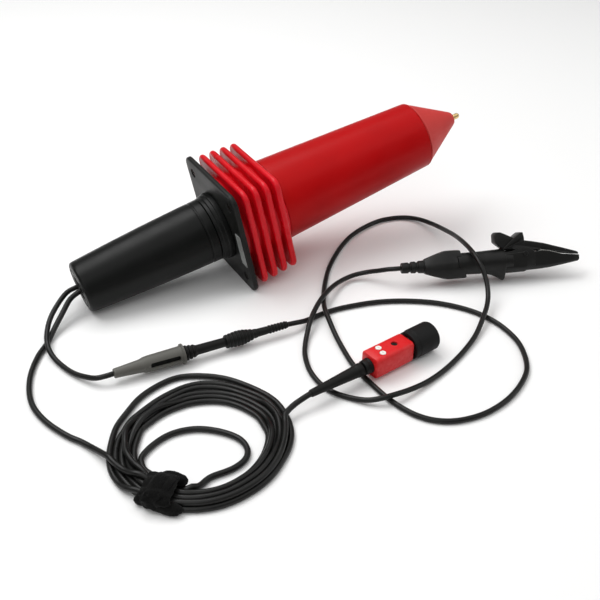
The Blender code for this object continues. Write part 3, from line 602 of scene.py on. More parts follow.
def settle(route, first, last):
    """Let the coil's turns sink to the floor and push each other apart, a cord's width
    at least, between two points that stay where they are."""
    shape = np.array([tuple(point) for point in route])
    shift = np.zeros_like(shape)
    order = np.arange(len(shape))
    apart = np.abs(order[:, None] - order[None, :]) > 3.2 * COAX_D / CORD_STEP
    free = np.clip(np.minimum(order - first, last - order) / FREE_STEPS, 0.0, 1.0)[:, None]
    for step in range(SMOOTHING_ROUNDS):
        middle = (shape[:-2] + shape[2:]) / 2
        amount = 0.5 if step % 2 == 0 else -0.505
        shape[1:-1] += (middle - shape[1:-1]) * amount * free[1:-1]
    low = COAX_D / 2 + 0.0002
    width = COAX_D * 1.01
    for step in range(SETTLING_ROUNDS):
        shift[:, :2] *= 1 - 0.05 * free
        shift[:, 2:] -= SINK * free
        for _ in range(2):
            middle = (shift[:-2] + shift[2:]) / 2
            shift[1:-1] += (middle - shift[1:-1]) * 0.6 * free[1:-1]
            line = shape + shift
            gap = line[:, None, :] - line[None, :, :]
            distance = np.sqrt((gap ** 2).sum(axis=2)) + 1e-9
            touching = apart & (distance < width)
            push = np.where(touching, (width - distance) / distance * 0.5, 0.0)
            share = np.maximum(1, touching.sum(axis=1) / 2.2)[:, None]
            shift += (gap * push[:, :, None]).sum(axis=1) / share * free
            under = np.maximum(0.0, low - shape[:, 2] - shift[:, 2])
            shift[:, 2] += under * free[:, 0]
    return [Vector(point) for point in shape + shift]


# The coil, along the cord: degrees (each turn adds 360), share of the way from the outermost
# to the innermost strand, and height in millimetres. The upper turns follow the lead-in, and
# the lower ones run from the loose loop to the lead-out.
UPPER_TURNS = [
    (223, 0.76, 9.8), (245, 0.72, 9.6), (275, 0.74, 8.6), (305, 0.78, 7.2), (340, 0.76, 5.7),
    (405, 0.74, 5.6), (450, 0.80, 5.6), (490, 0.80, 5.6), (530, 0.62, 5.6), (565, 0.50, 5.8),
    (590, 0.45, 6.2), (630, 0.46, 6.4), (660, 0.50, 5.8), (690, 0.50, 5.6), (720, 0.40, 5.6),
    (765, 0.36, 5.6), (786, 0.42, 5.6), (812, 0.62, 5.6), (840, 0.66, 5.6), (870, 0.58, 5.6),
    (905, 0.66, 5.8), (930, 0.84, 6.4), (948, 0.96, 6.6), (960, 1.12, 5.6)]
LOWER_TURNS = [
    (200, 1.00, 2.1), (300, 1.00, 2.1), (360, 0.96, 2.1), (420, 1.00, 2.1),
    (480, 1.00, 2.1), (520, 0.86, 2.1), (560, 0.66, 2.1), (585, 0.56, 3.6), (620, 0.56, 5.0),
    (655, 0.56, 3.2), (690, 0.62, 2.1), (720, 0.66, 2.1), (765, 0.70, 2.1), (810, 0.80, 2.1),
    (850, 0.82, 2.1), (885, 0.60, 2.1), (920, 0.40, 2.1), (945, 0.32, 2.1), (1000, 0.30, 2.1),
    (1040, 0.30, 2.1), (1080, 0.34, 2.1), (1125, 0.32, 2.1), (1146, 0.34, 2.1),
    (1172, 0.54, 2.1), (1194, 0.61, 2.1), (1212, 0.60, 2.1), (1229, 0.47, 2.1),
    (1246, 0.36, 2.1), (1270, 0.20, 2.1), (1305, 0.00, 2.1), (1580, 0.00, 2.1), (1625, 0.00, 2.3),
    (1650, 0.10, 4.4), (1675, 0.18, 6.2), (1710, 0.22, 6.4), (1745, 0.26, 6.4)]


def coil_turns(stations):
    share = table([(degrees, value) for degrees, value, height in stations])
    rise = table([(degrees, height) for degrees, value, height in stations])
    first, last = stations[0][0], stations[-1][0]
    count = round((last - first) / 15)
    angles = [first + (last - first) * k / count for k in range(count + 1)]
    return [coil_point(angle, share(angle), rise(angle) * MM) for angle in angles]


def make_coax_points():
    """From the handle over the coil to the strap, two turns, the loose loop, four turns
    below them, out to the box's boot and through it."""
    route = [Vector(point) for point in COAX_IN_ROUTE + OVER_COIL_ROUTE]
    route += coil_turns(UPPER_TURNS)
    route += [Vector(point) for point in INNER_LOOP_ROUTE[::-1] + LOOP_END_ROUTE]
    route += coil_turns(LOWER_TURNS)
    route += [Vector(point) for point in OFF_COIL_ROUTE + COAX_OUT_ROUTE]
    for back in (-46.0, -33.0, -20.0, -7.3):
        route.append(BOOT @ Vector((back * MM, 0, 0)))
    line = smooth_route(route, CORD_STEP)

    def nearest(place):
        return min(range(len(line)), key=lambda i: (line[i] - place).length)

    return settle(line, nearest(Vector(OVER_COIL_ROUTE[1])), nearest(Vector(OFF_COIL_ROUTE[2])))


pigtail_points = smooth_route(PIGTAIL_ROUTE, CORD_STEP)
coax_points = make_coax_points()
lead_points = smooth_route(LEAD_ROUTE, CORD_STEP)

pigtail = cord_piece("ground_pigtail_cord", pigtail_points, LEAD_D, "lead", None,
                     ["ground_pigtail"])
coax = cord_piece("signal_cable", coax_points, COAX_D, "coax", "root",
                  ["coax_lead_in", "coax_coil", "coax_inner_loop", "coax_lead_out"])
lead = cord_piece("ground_lead_cord", lead_points, LEAD_D, "lead", "root", ["ground_lead"])
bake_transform(pigtail)

# ---------------------------------------------------------------- shape helpers


SIDE_STEPS = 6
CORNER_STEPS = 8


def square_outline(half, corner, inset=0.0):
    """(y, z) points round a rounded square, drawn in by an inset."""
    points = []
    flat = half - corner
    radius = corner - inset
    for quarter in range(4):
        turn = quarter * math.pi / 2
        centre = Vector((flat, flat)) @ Matrix.Rotation(-turn, 2)
        for k in range(CORNER_STEPS + 1):
            angle = turn + math.pi / 2 * k / CORNER_STEPS
            points.append(centre + Vector((math.cos(angle), math.sin(angle))) * radius)
        after = Vector((-flat, flat)) @ Matrix.Rotation(-turn, 2)
        start = points[-1]
        end = after + Vector((0, radius)) @ Matrix.Rotation(-turn, 2)
        for k in range(1, SIDE_STEPS):
            points.append(start.lerp(end, k / SIDE_STEPS))
    return points


def flange_ring(shape, x, base, half, corner, share, inset=0.0):
    """A ring that lies between a circle (share 0) and a rounded square (share 1)."""
    ring = []
    for point in square_outline(half, corner, inset):
        hub = point.normalized() * base
        y, z = hub.lerp(point, share)
        ring.append(shape.verts.new((x, y, z)))
    return ring


def loft(rings):
    """A closed solid through rings of points, with flat ends."""
    shape = bmesh.new()
    return capped(shape, [[shape.verts.new(point) for point in ring] for ring in rings])


def slab(outline, half_width, bevel):
    """A flat piece cut to an (x, y) outline, its edges rounded off and its half width
    along Z given for each x by a function."""
    shape = bmesh.new()
    points = [Vector(point) for point in outline]
    count = len(points)
    turning = sum(points[i - 1].x * points[i].y - points[i].x * points[i - 1].y
                  for i in range(count))
    sense = 1 if turning > 0 else -1
    inwards = []
    for i in range(count):
        before = (points[i] - points[i - 1]).normalized()
        after = (points[(i + 1) % count] - points[i]).normalized()
        tangent = (before + after).normalized()
        inwards.append(Vector((-tangent.y, tangent.x)) * sense)
    steps = [(0.0, 1.0), (0.3, 0.3), (1.0, 0.0)]
    rings = []
    for side in (-1, 1):
        levels = []
        for depth, drop in steps:
            ring = []
            for point, inward in zip(points, inwards):
                place = point + inward * bevel * depth
                z = side * (half_width(point.x) - bevel * drop)
                ring.append(shape.verts.new((place.x, place.y, z)))
            levels.append(ring)
        rings += levels[::-1] if side < 0 else levels
    return capped(shape, rings)


def moved(shape, matrix):
    bmesh.ops.transform(shape, matrix=matrix, verts=shape.verts)
    return shape


def brick(size, place=(0, 0, 0)):
    """A box of a size, about a place."""
    shape = bmesh.new()
    bmesh.ops.create_cube(shape, size=1.0)
    bmesh.ops.scale(shape, vec=size, verts=shape.verts)
    return moved(shape, Matrix.Translation(place))


def joined(*shapes):
    """Several shapes as one mesh."""
    whole = bmesh.new()
    for shape in shapes:
        mesh = bpy.data.meshes.new("joining")
        shape.to_mesh(mesh)
        shape.free()
        whole.from_mesh(mesh)
        bpy.data.meshes.remove(mesh)
    return whole


def carved(shape, *tools):
    """The shape with each tool's solid cut out of it."""
    made = []
    for part in (shape, *tools):
        bmesh.ops.recalc_face_normals(part, faces=part.faces)
        mesh = bpy.data.meshes.new("carving")
        part.to_mesh(mesh)
        part.free()
        piece = bpy.data.objects.new("carving", mesh)
        bpy.context.scene.collection.objects.link(piece)
        made.append(piece)
    for tool in made[1:]:
        cut = made[0].modifiers.new("cut", "BOOLEAN")
        cut.solver = "EXACT"
        cut.operation = "DIFFERENCE"
        cut.object = tool
    shown = made[0].evaluated_get(bpy.context.evaluated_depsgraph_get())
    result = bmesh.new()
    result.from_mesh(shown.to_mesh())
    for piece in made:
        mesh = piece.data
        bpy.data.objects.remove(piece)
        bpy.data.meshes.remove(mesh)
    return result


def upright(shape, x=0.0, y=0.0):
    """Turn a lathe shape's axis to Z at a place: a trimmer, or a pin across the clip."""
    return moved(shape, Matrix.Translation((x, y, 0)) @ Matrix.Rotation(-math.pi / 2, 4, "Y"))


# ---------------------------------------------------------------- handle and guard

HANDLE_LENGTH = 102.0
PLATE_BACK = 112.2
PLATE_THICK = 4.0
SCREW_OFFSET = 30.5
SCREW_WELL = 2.6
FIN_FIRST = 123.8
FIN_PITCH = 8.45
HUB_R = 32.6
HUB_END = 155.0
BARREL_END = 285.2
BARREL_REAR_R = 31.85
BARREL_FRONT_R = 26.26
BARREL_TAPER = 5.59
CONE_END = 322.6


def handle_radius(x):
    share = (x - 3.0) / (HANDLE_LENGTH - 3.0)
    return 19.3 + 4.6 * share + 0.6 * math.sin(math.pi * share)


def make_handle():
    outer = [(x, handle_radius(x)) for x in (3.0, 8, 15, 24, 34, 45, 56, 67, 78, 88, 94.6)]
    groove = [(95.0, handle_radius(95) - 0.35), (96.0, handle_radius(96) - 0.35),
              (96.4, handle_radius(96.4)), (101.7, handle_radius(101.7)), (102.0, 23.5)]
    inner = [(102.0, 21.3), (4.0, 15.6), (2.4, 10.1), (0.0, 10.1)]
    rear = [(0.0, 13.4), (0.7, 13.6), (0.7, 14.8), (0.0, 15.0), (0.0, 16.4), (0.35, 17.9),
            (1.3, 18.9)]
    shape = lathe(rear + outer + groove + inner, 96, closed=True, fillet=0.5)
    finished("handle", shape, BODY, "handle", ["handle_shell"])
    collar = [(102.3, 20.6), (102.3, 23.5), (102.6, 23.9), (104.6, 24.2), (105.3, 24.9),
              (107.6, 25.1), (108.2, 25.7), (111.9, 25.8), (111.9, 20.6)]
    finished("front_collar", lathe(collar, 96, closed=True, fillet=0.3), BODY, "handle",
             ["handle_collar"])
    disc = [(6.0, 0), (6.0, 9.0), (2.8, 9.0), (2.8, 9.7), (0.0, 9.7), (0.0, 8.7), (0.8, 8.3),
            (0.8, 0)]
    rings = [moved(lathe([(0.8, 2.1), (-0.1, 2.1), (-0.1, 2.7), (0.8, 3.3)], 32, closed=True,
                         fillet=0.25), Matrix.Translation((0, y, 0.0))) for y in (-3.0, 3.0)]
    shape = joined(lathe(disc, 64, fillet=0.35), *rings)
    finished("cord_grommet", shape, BODY, "rubber", ["cable_grommet"])


def make_guard():
    shape = bmesh.new()
    front = PLATE_BACK + PLATE_THICK
    rows = [(PLATE_BACK, 0, 0), (PLATE_BACK, 1, 6.5), (PLATE_BACK, 1, 1.5),
            (PLATE_BACK + 0.13, 1, 0.75), (PLATE_BACK + 0.5, 1, 0.25),
            (PLATE_BACK + 1.2, 1, 0.0), (front - 1.2, 1, 0.0), (front - 0.5, 1, 0.25),
            (front - 0.13, 1, 0.75), (front, 1, 1.5), (front, 1, 6.5), (front, 0, 0)]
    rings = [flange_ring(shape, x, 20.6, 41.75, 8.0, share, inset)
             for x, share, inset in rows]
    ring_faces(shape, rings, closed=True)
    wells = []
    corners = [(y, z) for y in (-1, 1) for z in (-1, 1)]
    for y, z in corners:
        offset = Matrix.Translation((0, y * SCREW_OFFSET, z * SCREW_OFFSET))
        well = [(PLATE_BACK - 2.0, 0), (PLATE_BACK - 2.0, 5.8), (PLATE_BACK + 0.5, 3.3),
                (PLATE_BACK + SCREW_WELL, 3.3), (PLATE_BACK + SCREW_WELL, 0)]
        wells.append(moved(lathe(well, 40, fillet=0), offset))
    finished("guard_plate_shell", carved(shape, *wells), BODY, "guard",
             ["guard_plate"])
    floor = PLATE_BACK + SCREW_WELL - 0.3
    for number, (y, z) in enumerate(corners, 1):
        offset = Matrix.Translation((0, y * SCREW_OFFSET, z * SCREW_OFFSET))
        head = lathe([(floor, 0), (floor, 2.9), (floor - 1.0, 2.9), (floor - 1.6, 2.2),
                      (floor - 1.7, 0)], 40, fillet=0.3)
        arms = []
        for size in ((0.7, 3.0), (3.0, 0.7)):
            arms.append(brick((1.8, *size), (floor - 1.7, 0, 0)))
        shape = moved(carved(head, *arms), offset)
        finished(f"corner_screw_{number}", shape, BODY, "dark_screw",
                 [f"guard_screw_{number}"])


def make_fins():
    """The hub and its four square fins as one continuous skin."""
    shape = bmesh.new()
    halves = (40.0, 39.8, 39.3, 38.8)
    corner = 8.0
    edge = 3.6
    rows = [(PLATE_BACK + PLATE_THICK + 0.3, 30.2, 0, 0, 40.0), (116.5, HUB_R, 0, 0, 40.0)]
    web = [(-3.9, 0.0), (-2.9, 0.05), (-2.3, 0.16), (-2.0, 0.38), (-1.9, 0.70), (-2.0, 1.0)]
    rim_radius = 2.3
    for k, half in enumerate(halves):
        centre = FIN_FIRST + k * FIN_PITCH
        sides = [(centre + dx, HUB_R, share, edge, half) for dx, share in web]
        rim = []
        for step in range(9):
            angle = math.pi * step / 8
            rim.append((centre - rim_radius * math.cos(angle), HUB_R, 1,
                        rim_radius * (1 - math.sin(angle)), half))
        rows += sides + rim + [(2 * centre - x, base, share, inset, half)
                               for x, base, share, inset, half in sides[::-1]]
    rows += [(HUB_END - 0.6, HUB_R, 0, 0, 40.0), (HUB_END, HUB_R - 0.6, 0, 0, 40.0),
             (HUB_END, 30.2, 0, 0, 40.0)]
    rings = [flange_ring(shape, x, base, half, corner, share, inset)
             for x, base, share, inset, half in rows]
    ring_faces(shape, rings, closed=True)
    finished("fin_stack", shape, BODY, "fins", ["fin_guard"])


def make_label():
    """A blank foil label with a raised rim."""
    rings = []
    centre = Vector((PLATE_BACK - 0.5, -36.0, -4.0))
    for x, grow in ((0.2, 0.0), (-0.1, 0.0), (-0.2, -0.1), (-0.2, -0.7), (-0.12, -0.85)):
        ring = []
        for k in range(32):
            angle = 2 * math.pi * (k + 0.5) / 32
            corner = 0.9
            y = math.copysign(4.0 + grow - corner, math.cos(angle)) + corner * math.cos(angle)
            z = math.copysign(13.5 + grow - corner, math.sin(angle)) + corner * math.sin(angle)
            ring.append(centre + Vector((x, y, z)))
        rings.append(ring)
    finished("blank_label", loft(rings), BODY, "label", ["rating_label"])


# ---------------------------------------------------------------- barrel, cone and tip


def make_barrel():
    outer = [(HUB_END + 0.3, BARREL_REAR_R)]
    outer += [(x, BARREL_REAR_R - BARREL_TAPER * (x - HUB_END) / (BARREL_END - HUB_END))
              for x in (158, 170, 190, 210, 230, 250, 268, 280, 284.6)]
    profile = [(116.5, 27.4), (116.5, 29.9), (HUB_END + 0.3, 29.9)] + outer
    profile += [(BARREL_END, 25.95), (BARREL_END, 23.66), (HUB_END + 0.3, 27.4)]
    finished("barrel", lathe(profile, 128, closed=True, fillet=0.3), BODY, "barrel",
             ["barrel_shell"])
    base = BARREL_END + 0.3
    slope = (BARREL_FRONT_R - 5.0) / (CONE_END - base)
    cone = [(278.0, 20.4), (278.0, 23.3), (base, 23.36), (base, 25.9), (base + 0.5, BARREL_FRONT_R)]
    cone += [(x, BARREL_FRONT_R - slope * (x - base)) for x in (287, 294, 302, 310, 317, 321.4)]
    cone += [(322.4, 4.9), (CONE_END, 4.3), (CONE_END, 3.1), (316.6, 3.1), (287.5, 20.4)]
    finished("cone", lathe(cone, 128, closed=True, fillet=0.35), BODY, "cone",
             ["nose_cone"])
    tip = [(304.0, 0), (304.0, 2.7), (312.0, 2.7), (312.0, 2.6), (322.6, 2.6), (323.0, 2.2),
           (324.0, 2.2), (324.2, 2.0), (324.8, 2.0), (325.0, 2.2), (328.4, 2.2), (329.4, 1.5),
           (329.9, 0.7), (330.0, 0)]
    finished("contact_tip", lathe(tip, 48, fillet=0.12), BODY, "brass", ["probe_tip"])


# ---------------------------------------------------------------- grey socket and plug


def make_socket():
    end = PLUG_OUT - 0.3
    profile = [(0.0, 1.9), (0.0, 3.0), (0.5, 3.25), (8.0, 3.75), (16.5, 4.4), (18.0, 4.55),
               (20.5, 5.25), (24.0, 5.6), (35.0, 5.75), (45.4, 5.95), (46.2, 6.2), (46.2, 7.1),
               (end, 7.1), (end, 4.4), (20.0, 4.1), (18.0, 1.9)]
    shell = lathe(profile, 64, closed=True, fillet=0.3)
    slot = brick((20.5, 6.0, 3.7))
    bmesh.ops.bevel(slot, geom=slot.edges[:], offset=1.1, segments=3, affect="EDGES",
                    profile=0.5)
    shell = carved(shell, moved(slot, Matrix.Translation((34.0, -5.0, 1.2))))
    bumps = []
    for x, side, size in ((19.8, 0.6, 1.3), (22.6, -0.9, 0.8), (22.9, 2.3, 0.8)):
        dome = lathe([(-0.8, 0), (-0.8, size), (0.1, size), (0.5, size * 0.6), (0.6, 0)], 20,
                     fillet=0.25)
        height = 4.9 if x < 20 else 5.3
        lean = math.asin(side / height)
        bumps.append(moved(dome, Matrix.Rotation(lean, 4, "X")
                           @ Matrix.Translation((x, -height, 0))
                           @ Matrix.Rotation(-math.pi / 2, 4, "Z")))
    return finished("grey_socket", joined(shell, *bumps), SOCKET, "grey",
                    ["socket_shell"], body="socket")


def make_plug():
    out = PLUG_OUT
    collar = [(out, 3.2), (out, 4.5)]
    for x, radius in ((out + 0.9, 5.2), (out + 3.5, 4.8), (out + 6.1, 4.4)):
        collar += [(x - 0.4, radius - 0.55), (x, radius), (x + 1.3, radius), (x + 1.7, 3.9)]
    barrel = [(out + 6.3, 0), (out + 6.3, 3.2)] + collar
    barrel += [(out + 9.0, 3.45), (out + 29.2, 3.2), (out + 29.2, 0)]
    finished("plug_body", lathe(barrel, 64, fillet=0.25), SOCKET, "rubber",
             ["plug_barrel"])
    swell = table([(0, 4.5), (4, 5.0), (9, 5.45), (13, 5.2), (18, 4.1), (23.5, 3.1)])
    grip = [(out + 29.5, 0), (out + 29.5, 4.3)]
    ribs = 8
    for k in range(ribs):
        x = 0.4 + k * 2.55
        radius = swell(x)
        grip += [(out + 29.5 + x, radius), (out + 29.5 + x + 1.3, swell(x + 1.3)),
                 (out + 29.5 + x + 1.6, swell(x + 1.6) - 0.55),
                 (out + 29.5 + x + 2.25, swell(x + 2.2) - 0.55)]
    grip += [(out + 51.0, 3.3), (out + 53.0, 3.0), (out + 53.0, 0)]
    grip_piece = finished("plug_ribbed_grip", lathe(grip, 64, fillet=0.22), SOCKET, "rubber",
                          ["plug_grip"])
    relief = [(out + 53.3, 0), (out + 53.3, 2.85), (out + 60.5, 2.75)]
    count = 6
    for k in range(count):
        x = out + 61.4 + 2.3 * k
        radius = 3.0 - 0.06 * k
        relief += [(x, radius - 0.6), (x + 0.5, radius), (x + 1.5, radius), (x + 1.9, radius - 0.6)]
    relief += [(out + 75.6, 2.45), (out + 75.6, 0)]
    relief_piece = finished("plug_ribbed_relief", lathe(relief, 48, fillet=0.2), SOCKET,
                            "rubber", ["plug_relief"])
    pin = [(out - 23.0, 0), (out - 23.0, 1.0), (out - 21.5, 1.95), (out - 2.0, 1.95),
           (out - 2.0, 1.5), (out + 6.0, 1.5), (out + 6.0, 0)]
    finished("banana_pin", lathe(pin, 40, fillet=0.3), SOCKET, "nickel", ["plug_pin"])
    return [grip_piece, relief_piece]


# ---------------------------------------------------------------- clip


def block_ring(x, height, width, slant=0.0):
    """Rounded hexagonal section of the clip's rear block."""
    corners = [(height, 0.45 * width), (0.12 * height, width), (-0.30 * height, width),
               (-height, 0.55 * width), (-height, -0.55 * width), (-0.30 * height, -width),
               (0.12 * height, -width), (height, -0.45 * width)]
    return [(x - slant * y / height, y, z)
            for y, z in rounded(corners, 1.1, closed=True, steps=3)]


def jaw_ring(x, low, high, width, corner):
    """Section of the lower jaw: round underneath, small edges on top."""
    points = []
    for cy, cz, radius, start in ((high - 0.5, width - 0.5, 0.5, 90),
                                  (low + corner, width - corner, corner, 0),
                                  (low + corner, corner - width, corner, -90),
                                  (high - 0.5, 0.5 - width, 0.5, 180)):
        for k in range(6):
            angle = math.radians(start - 90 * k / 5)
            points.append((x, cy + radius * math.sin(angle), cz + radius * math.cos(angle)))
    return points


def make_finger_guard():
    """A lip that stands out below the clip's barrel."""
    shape = bmesh.new()
    steps = 72
    rings = []
    for x, low, tall in ((60.0, 8.0, 0.0), (62.5, 8.5, 0.03), (68.0, 8.7, 0.22),
                         (72.5, 8.9, 0.58), (75.6, 9.1, 0.94), (76.6, 9.2, 1.0),
                         (77.2, 9.1, 0.94), (77.9, 9.0, 0.25), (78.4, 8.4, 0.0)):
        ring = []
        for k in range(steps):
            angle = 2 * math.pi * k / steps
            radius = low + tall * 5.4 * max(0.0, -math.sin(angle)) ** 4
            ring.append(shape.verts.new((x, radius * math.sin(angle), radius * math.cos(angle))))
        rings.append(ring)
    return capped(shape, rings)


def make_clip():
    boot = [(0.0, 1.85), (0.0, 3.5), (0.3, 3.9), (5.0, 4.1), (5.8, 3.4), (6.8, 3.3), (7.3, 4.3),
            (10.4, 4.45), (11.2, 3.6), (12.2, 3.6), (12.9, 4.6), (16.6, 4.8), (17.0, 4.4),
            (17.0, 1.85)]
    boot_piece = finished("clip_ringed_boot", lathe(boot, 48, closed=True, fillet=0.35), CLIP,
                          "clip", ["clip_boot"])
    rings = [block_ring(17.3, 5.1, 4.6), block_ring(18.0, 5.7, 5.0), block_ring(25.0, 8.1, 6.5),
             block_ring(32.0, 10.2, 7.8), block_ring(34.5, 10.6, 8.0),
             block_ring(45.0, 10.5, 8.1, 1.6), block_ring(46.2, 10.2, 7.9, 1.9)]
    block = carved(loft(rings), lathe([(41.5, 0), (41.5, 8.4), (60, 8.4), (60, 0)], 48, fillet=0))
    block_piece = finished("clip_rear_block", block, CLIP, "clip", ["clip_block"])
    barrel = lathe([(42.0, 0), (42.0, 8.1), (48.5, 8.2), (66.0, 8.5), (83.5, 8.8), (83.5, 0)],
                   64, fillet=0.4)
    stations = ((73.6, -8.6, 4.6, 6.9, 4.6), (75.0, -9.2, 5.2, 7.5, 4.6),
                (84.0, -9.1, 5.6, 7.7, 4.4), (92.6, -8.9, 6.0, 7.7, 4.0),
                (94.6, -8.1, 6.0, 7.2, 3.8), (101.5, -7.9, 5.7, 6.9, 3.6),
                (106.7, -7.7, 6.1, 6.2, 3.2), (113.0, -7.2, 5.0, 5.6, 3.0),
                (122.0, -6.0, 2.5, 4.7, 2.5), (130.0, -4.8, 1.55, 3.9, 2.0),
                (135.4, -4.0, 0.95, 3.1, 1.6), (136.5, -3.2, 0.75, 2.7, 1.3))
    jaw = loft([jaw_ring(*row) for row in stations])
    well = slab([(81.2, -2.3), (100.9, -2.3), (100.9, 20.0), (70.5, 20.0), (70.5, 8.0),
                 (76.0, 5.2), (81.2, 2.0)], table([(60, 5.5), (140, 5.5)]), 0.01)
    trough = slab([(100.0, -2.3), (128.0, -0.9), (132.5, 0.2), (132.5, 20.0), (100.0, 20.0)],
                  table([(100, 4.6), (132.5, 2.2)]), 0.01)
    cheek = rounded([(74.5, -5.0), (100.7, -5.0), (100.7, 5.6), (97.0, 8.6), (90.0, 9.0),
                     (84.0, 7.4), (75.0, 5.6)], 1.0, True, 3)
    cheeks = [moved(slab(cheek, table([(0, 0.9), (200, 0.9)]), 0.45),
                    Matrix.Translation((0, 0, side * 6.45))) for side in (-1, 1)]
    trunk = joined(carved(barrel, well.copy()), make_finger_guard(), carved(jaw, well, trough),
                   *cheeks)
    finished("clip_front_body", trunk, CLIP, "clip", ["clip_body"])
    rim = table([(101, 5.7), (106.7, 6.15), (113, 5.05), (122, 2.45), (130, 1.35), (134, 0.8)])
    teeth = [(103.0, -1.6), (131.8, -0.4)]
    for k in range(15):
        x = 131.8 - 1.9 * k
        teeth += [(x, rim(x) - 0.7), (x - 0.95, rim(x - 0.95) + 0.1)]
    strip = slab(teeth, table([(104, 4.1), (132, 2.0)]), 0.1)
    edge = [(x, rim(x) + 0.02) for x in (103.5, 106.7, 110, 113, 117.5, 122)]
    edge += [(x, rim(x) + 0.42) for x in (122, 117.5, 113, 110, 106.7, 104.5)]
    lips = slab(edge, table([(103, 6.3), (106.7, 6.05), (113, 5.45), (122, 4.55)]), 0.12)
    finished("clip_metal_teeth", joined(strip, lips), CLIP, "nickel")
    pin = [(-8.4, 0), (-8.4, 1.7), (-7.6, 2.1), (-7.4, 1.25), (7.4, 1.25), (7.6, 2.1),
           (8.4, 1.7), (8.4, 0)]
    finished("clip_pivot_pin", upright(lathe(pin, 32, fillet=0.2), *CLIP_PIVOT), CLIP,
             "clip", ["clip_hinge_pin"])
    make_upper_jaw()
    return [boot_piece, block_piece]


def make_upper_jaw():
    jaw_outline = [(43.3, -3.4), (43.2, -2.0), (41.4, -1.0), (29.1, 2.7), (15.3, 6.8),
                   (6.0, 8.8), (0.4, 9.8), (-7.0, 9.8), (-11.0, 8.0), (-9.0, 3.4), (-4.4, 2.0),
                   (-4.0, -1.7), (-1.5, -3.9), (2.0, -3.7), (4.2, -0.2), (5.5, 1.4),
                   (13.7, 2.2), (20.0, 1.0), (29.0, -1.7), (37.0, -2.9)]
    width = table([(-12, 5.2), (8, 5.2), (17, 4.8), (30, 3.8), (43.4, 2.6)])
    jaw = slab(rounded(jaw_outline, 0.8, True, 3), width, 0.8)
    bore = lathe([(-12, 0), (-12, 1.75), (12, 1.75), (12, 0)], 32, fillet=0)
    jaw = carved(jaw, upright(bore))
    lever_outline = [(2.0, 8.6), (-8.4, 12.6), (-17.4, 17.0), (-20.6, 16.8), (-22.0, 15.2),
                     (-21.9, 9.4), (-20.4, 8.0), (-17.0, 5.2), (-13.0, 3.8), (-8.0, 3.2),
                     (0.0, 4.4)]
    lever = slab(rounded(lever_outline, 1.2, True, 3), table([(-23, 4.8), (3, 5.1)]), 0.9)
    wing_outline = [(-16.9, 4.0), (-8.6, 11.4), (-2.2, 15.8), (-0.6, 15.9), (0.3, 12.6),
                    (0.5, 9.6), (-4.0, 8.6), (-9.6, 6.4), (-14.6, 3.9)]
    wing = slab(rounded(wing_outline, 0.6, True, 3),
                table([(-17, 5.2), (-12, 5.4), (-8, 6.8), (-2, 6.4), (0.6, 5.2)]), 0.5)
    spring = slab(rounded([(-15.5, 4.4), (-9.0, 0.8), (-5.0, 0.6), (-4.6, 4.6), (-12.0, 5.0)],
                          0.8, True, 3), table([(-20, 2.4), (0, 2.4)]), 0.5)
    shape = joined(jaw, lever, wing, spring)
    finished("clip_lever_jaw", shape, HINGE, "clip", ["clip_upper_jaw"], body="clip_jaw")


# ---------------------------------------------------------------- BNC box and coupling


def box_half(low, high, rounded_low):
    """Half of the square box between two heights, hollow, with rounded long edges."""
    side = 7.75
    corner = 2.6
    rings = []
    for x, inset in ((0.0, 0.9), (0.25, 0.35), (0.9, 0.0), (31.2, 0.0), (32.1, 0.3),
                     (32.7, 0.8), (33.0, 1.5)):
        reach = side - inset
        ring = []
        centre = reach - corner
        away = -1 if rounded_low else 1
        edge = away * reach
        flat = high if rounded_low else low
        ring.append((x, -reach, flat))
        for k in range(8):
            angle = math.pi / 2 * k / 7
            ring.append((x, -centre - corner * math.cos(angle),
                         edge - away * corner * (1 - math.sin(angle))))
        for k in range(8):
            angle = math.pi / 2 * (1 - k / 7)
            ring.append((x, centre + corner * math.cos(angle),
                         edge - away * corner * (1 - math.sin(angle))))
        ring.append((x, reach, flat))
        rings.append(ring)
    return carved(loft(rings), brick((30.0, 12.5, 12.5), (16.5, 0, 0)))


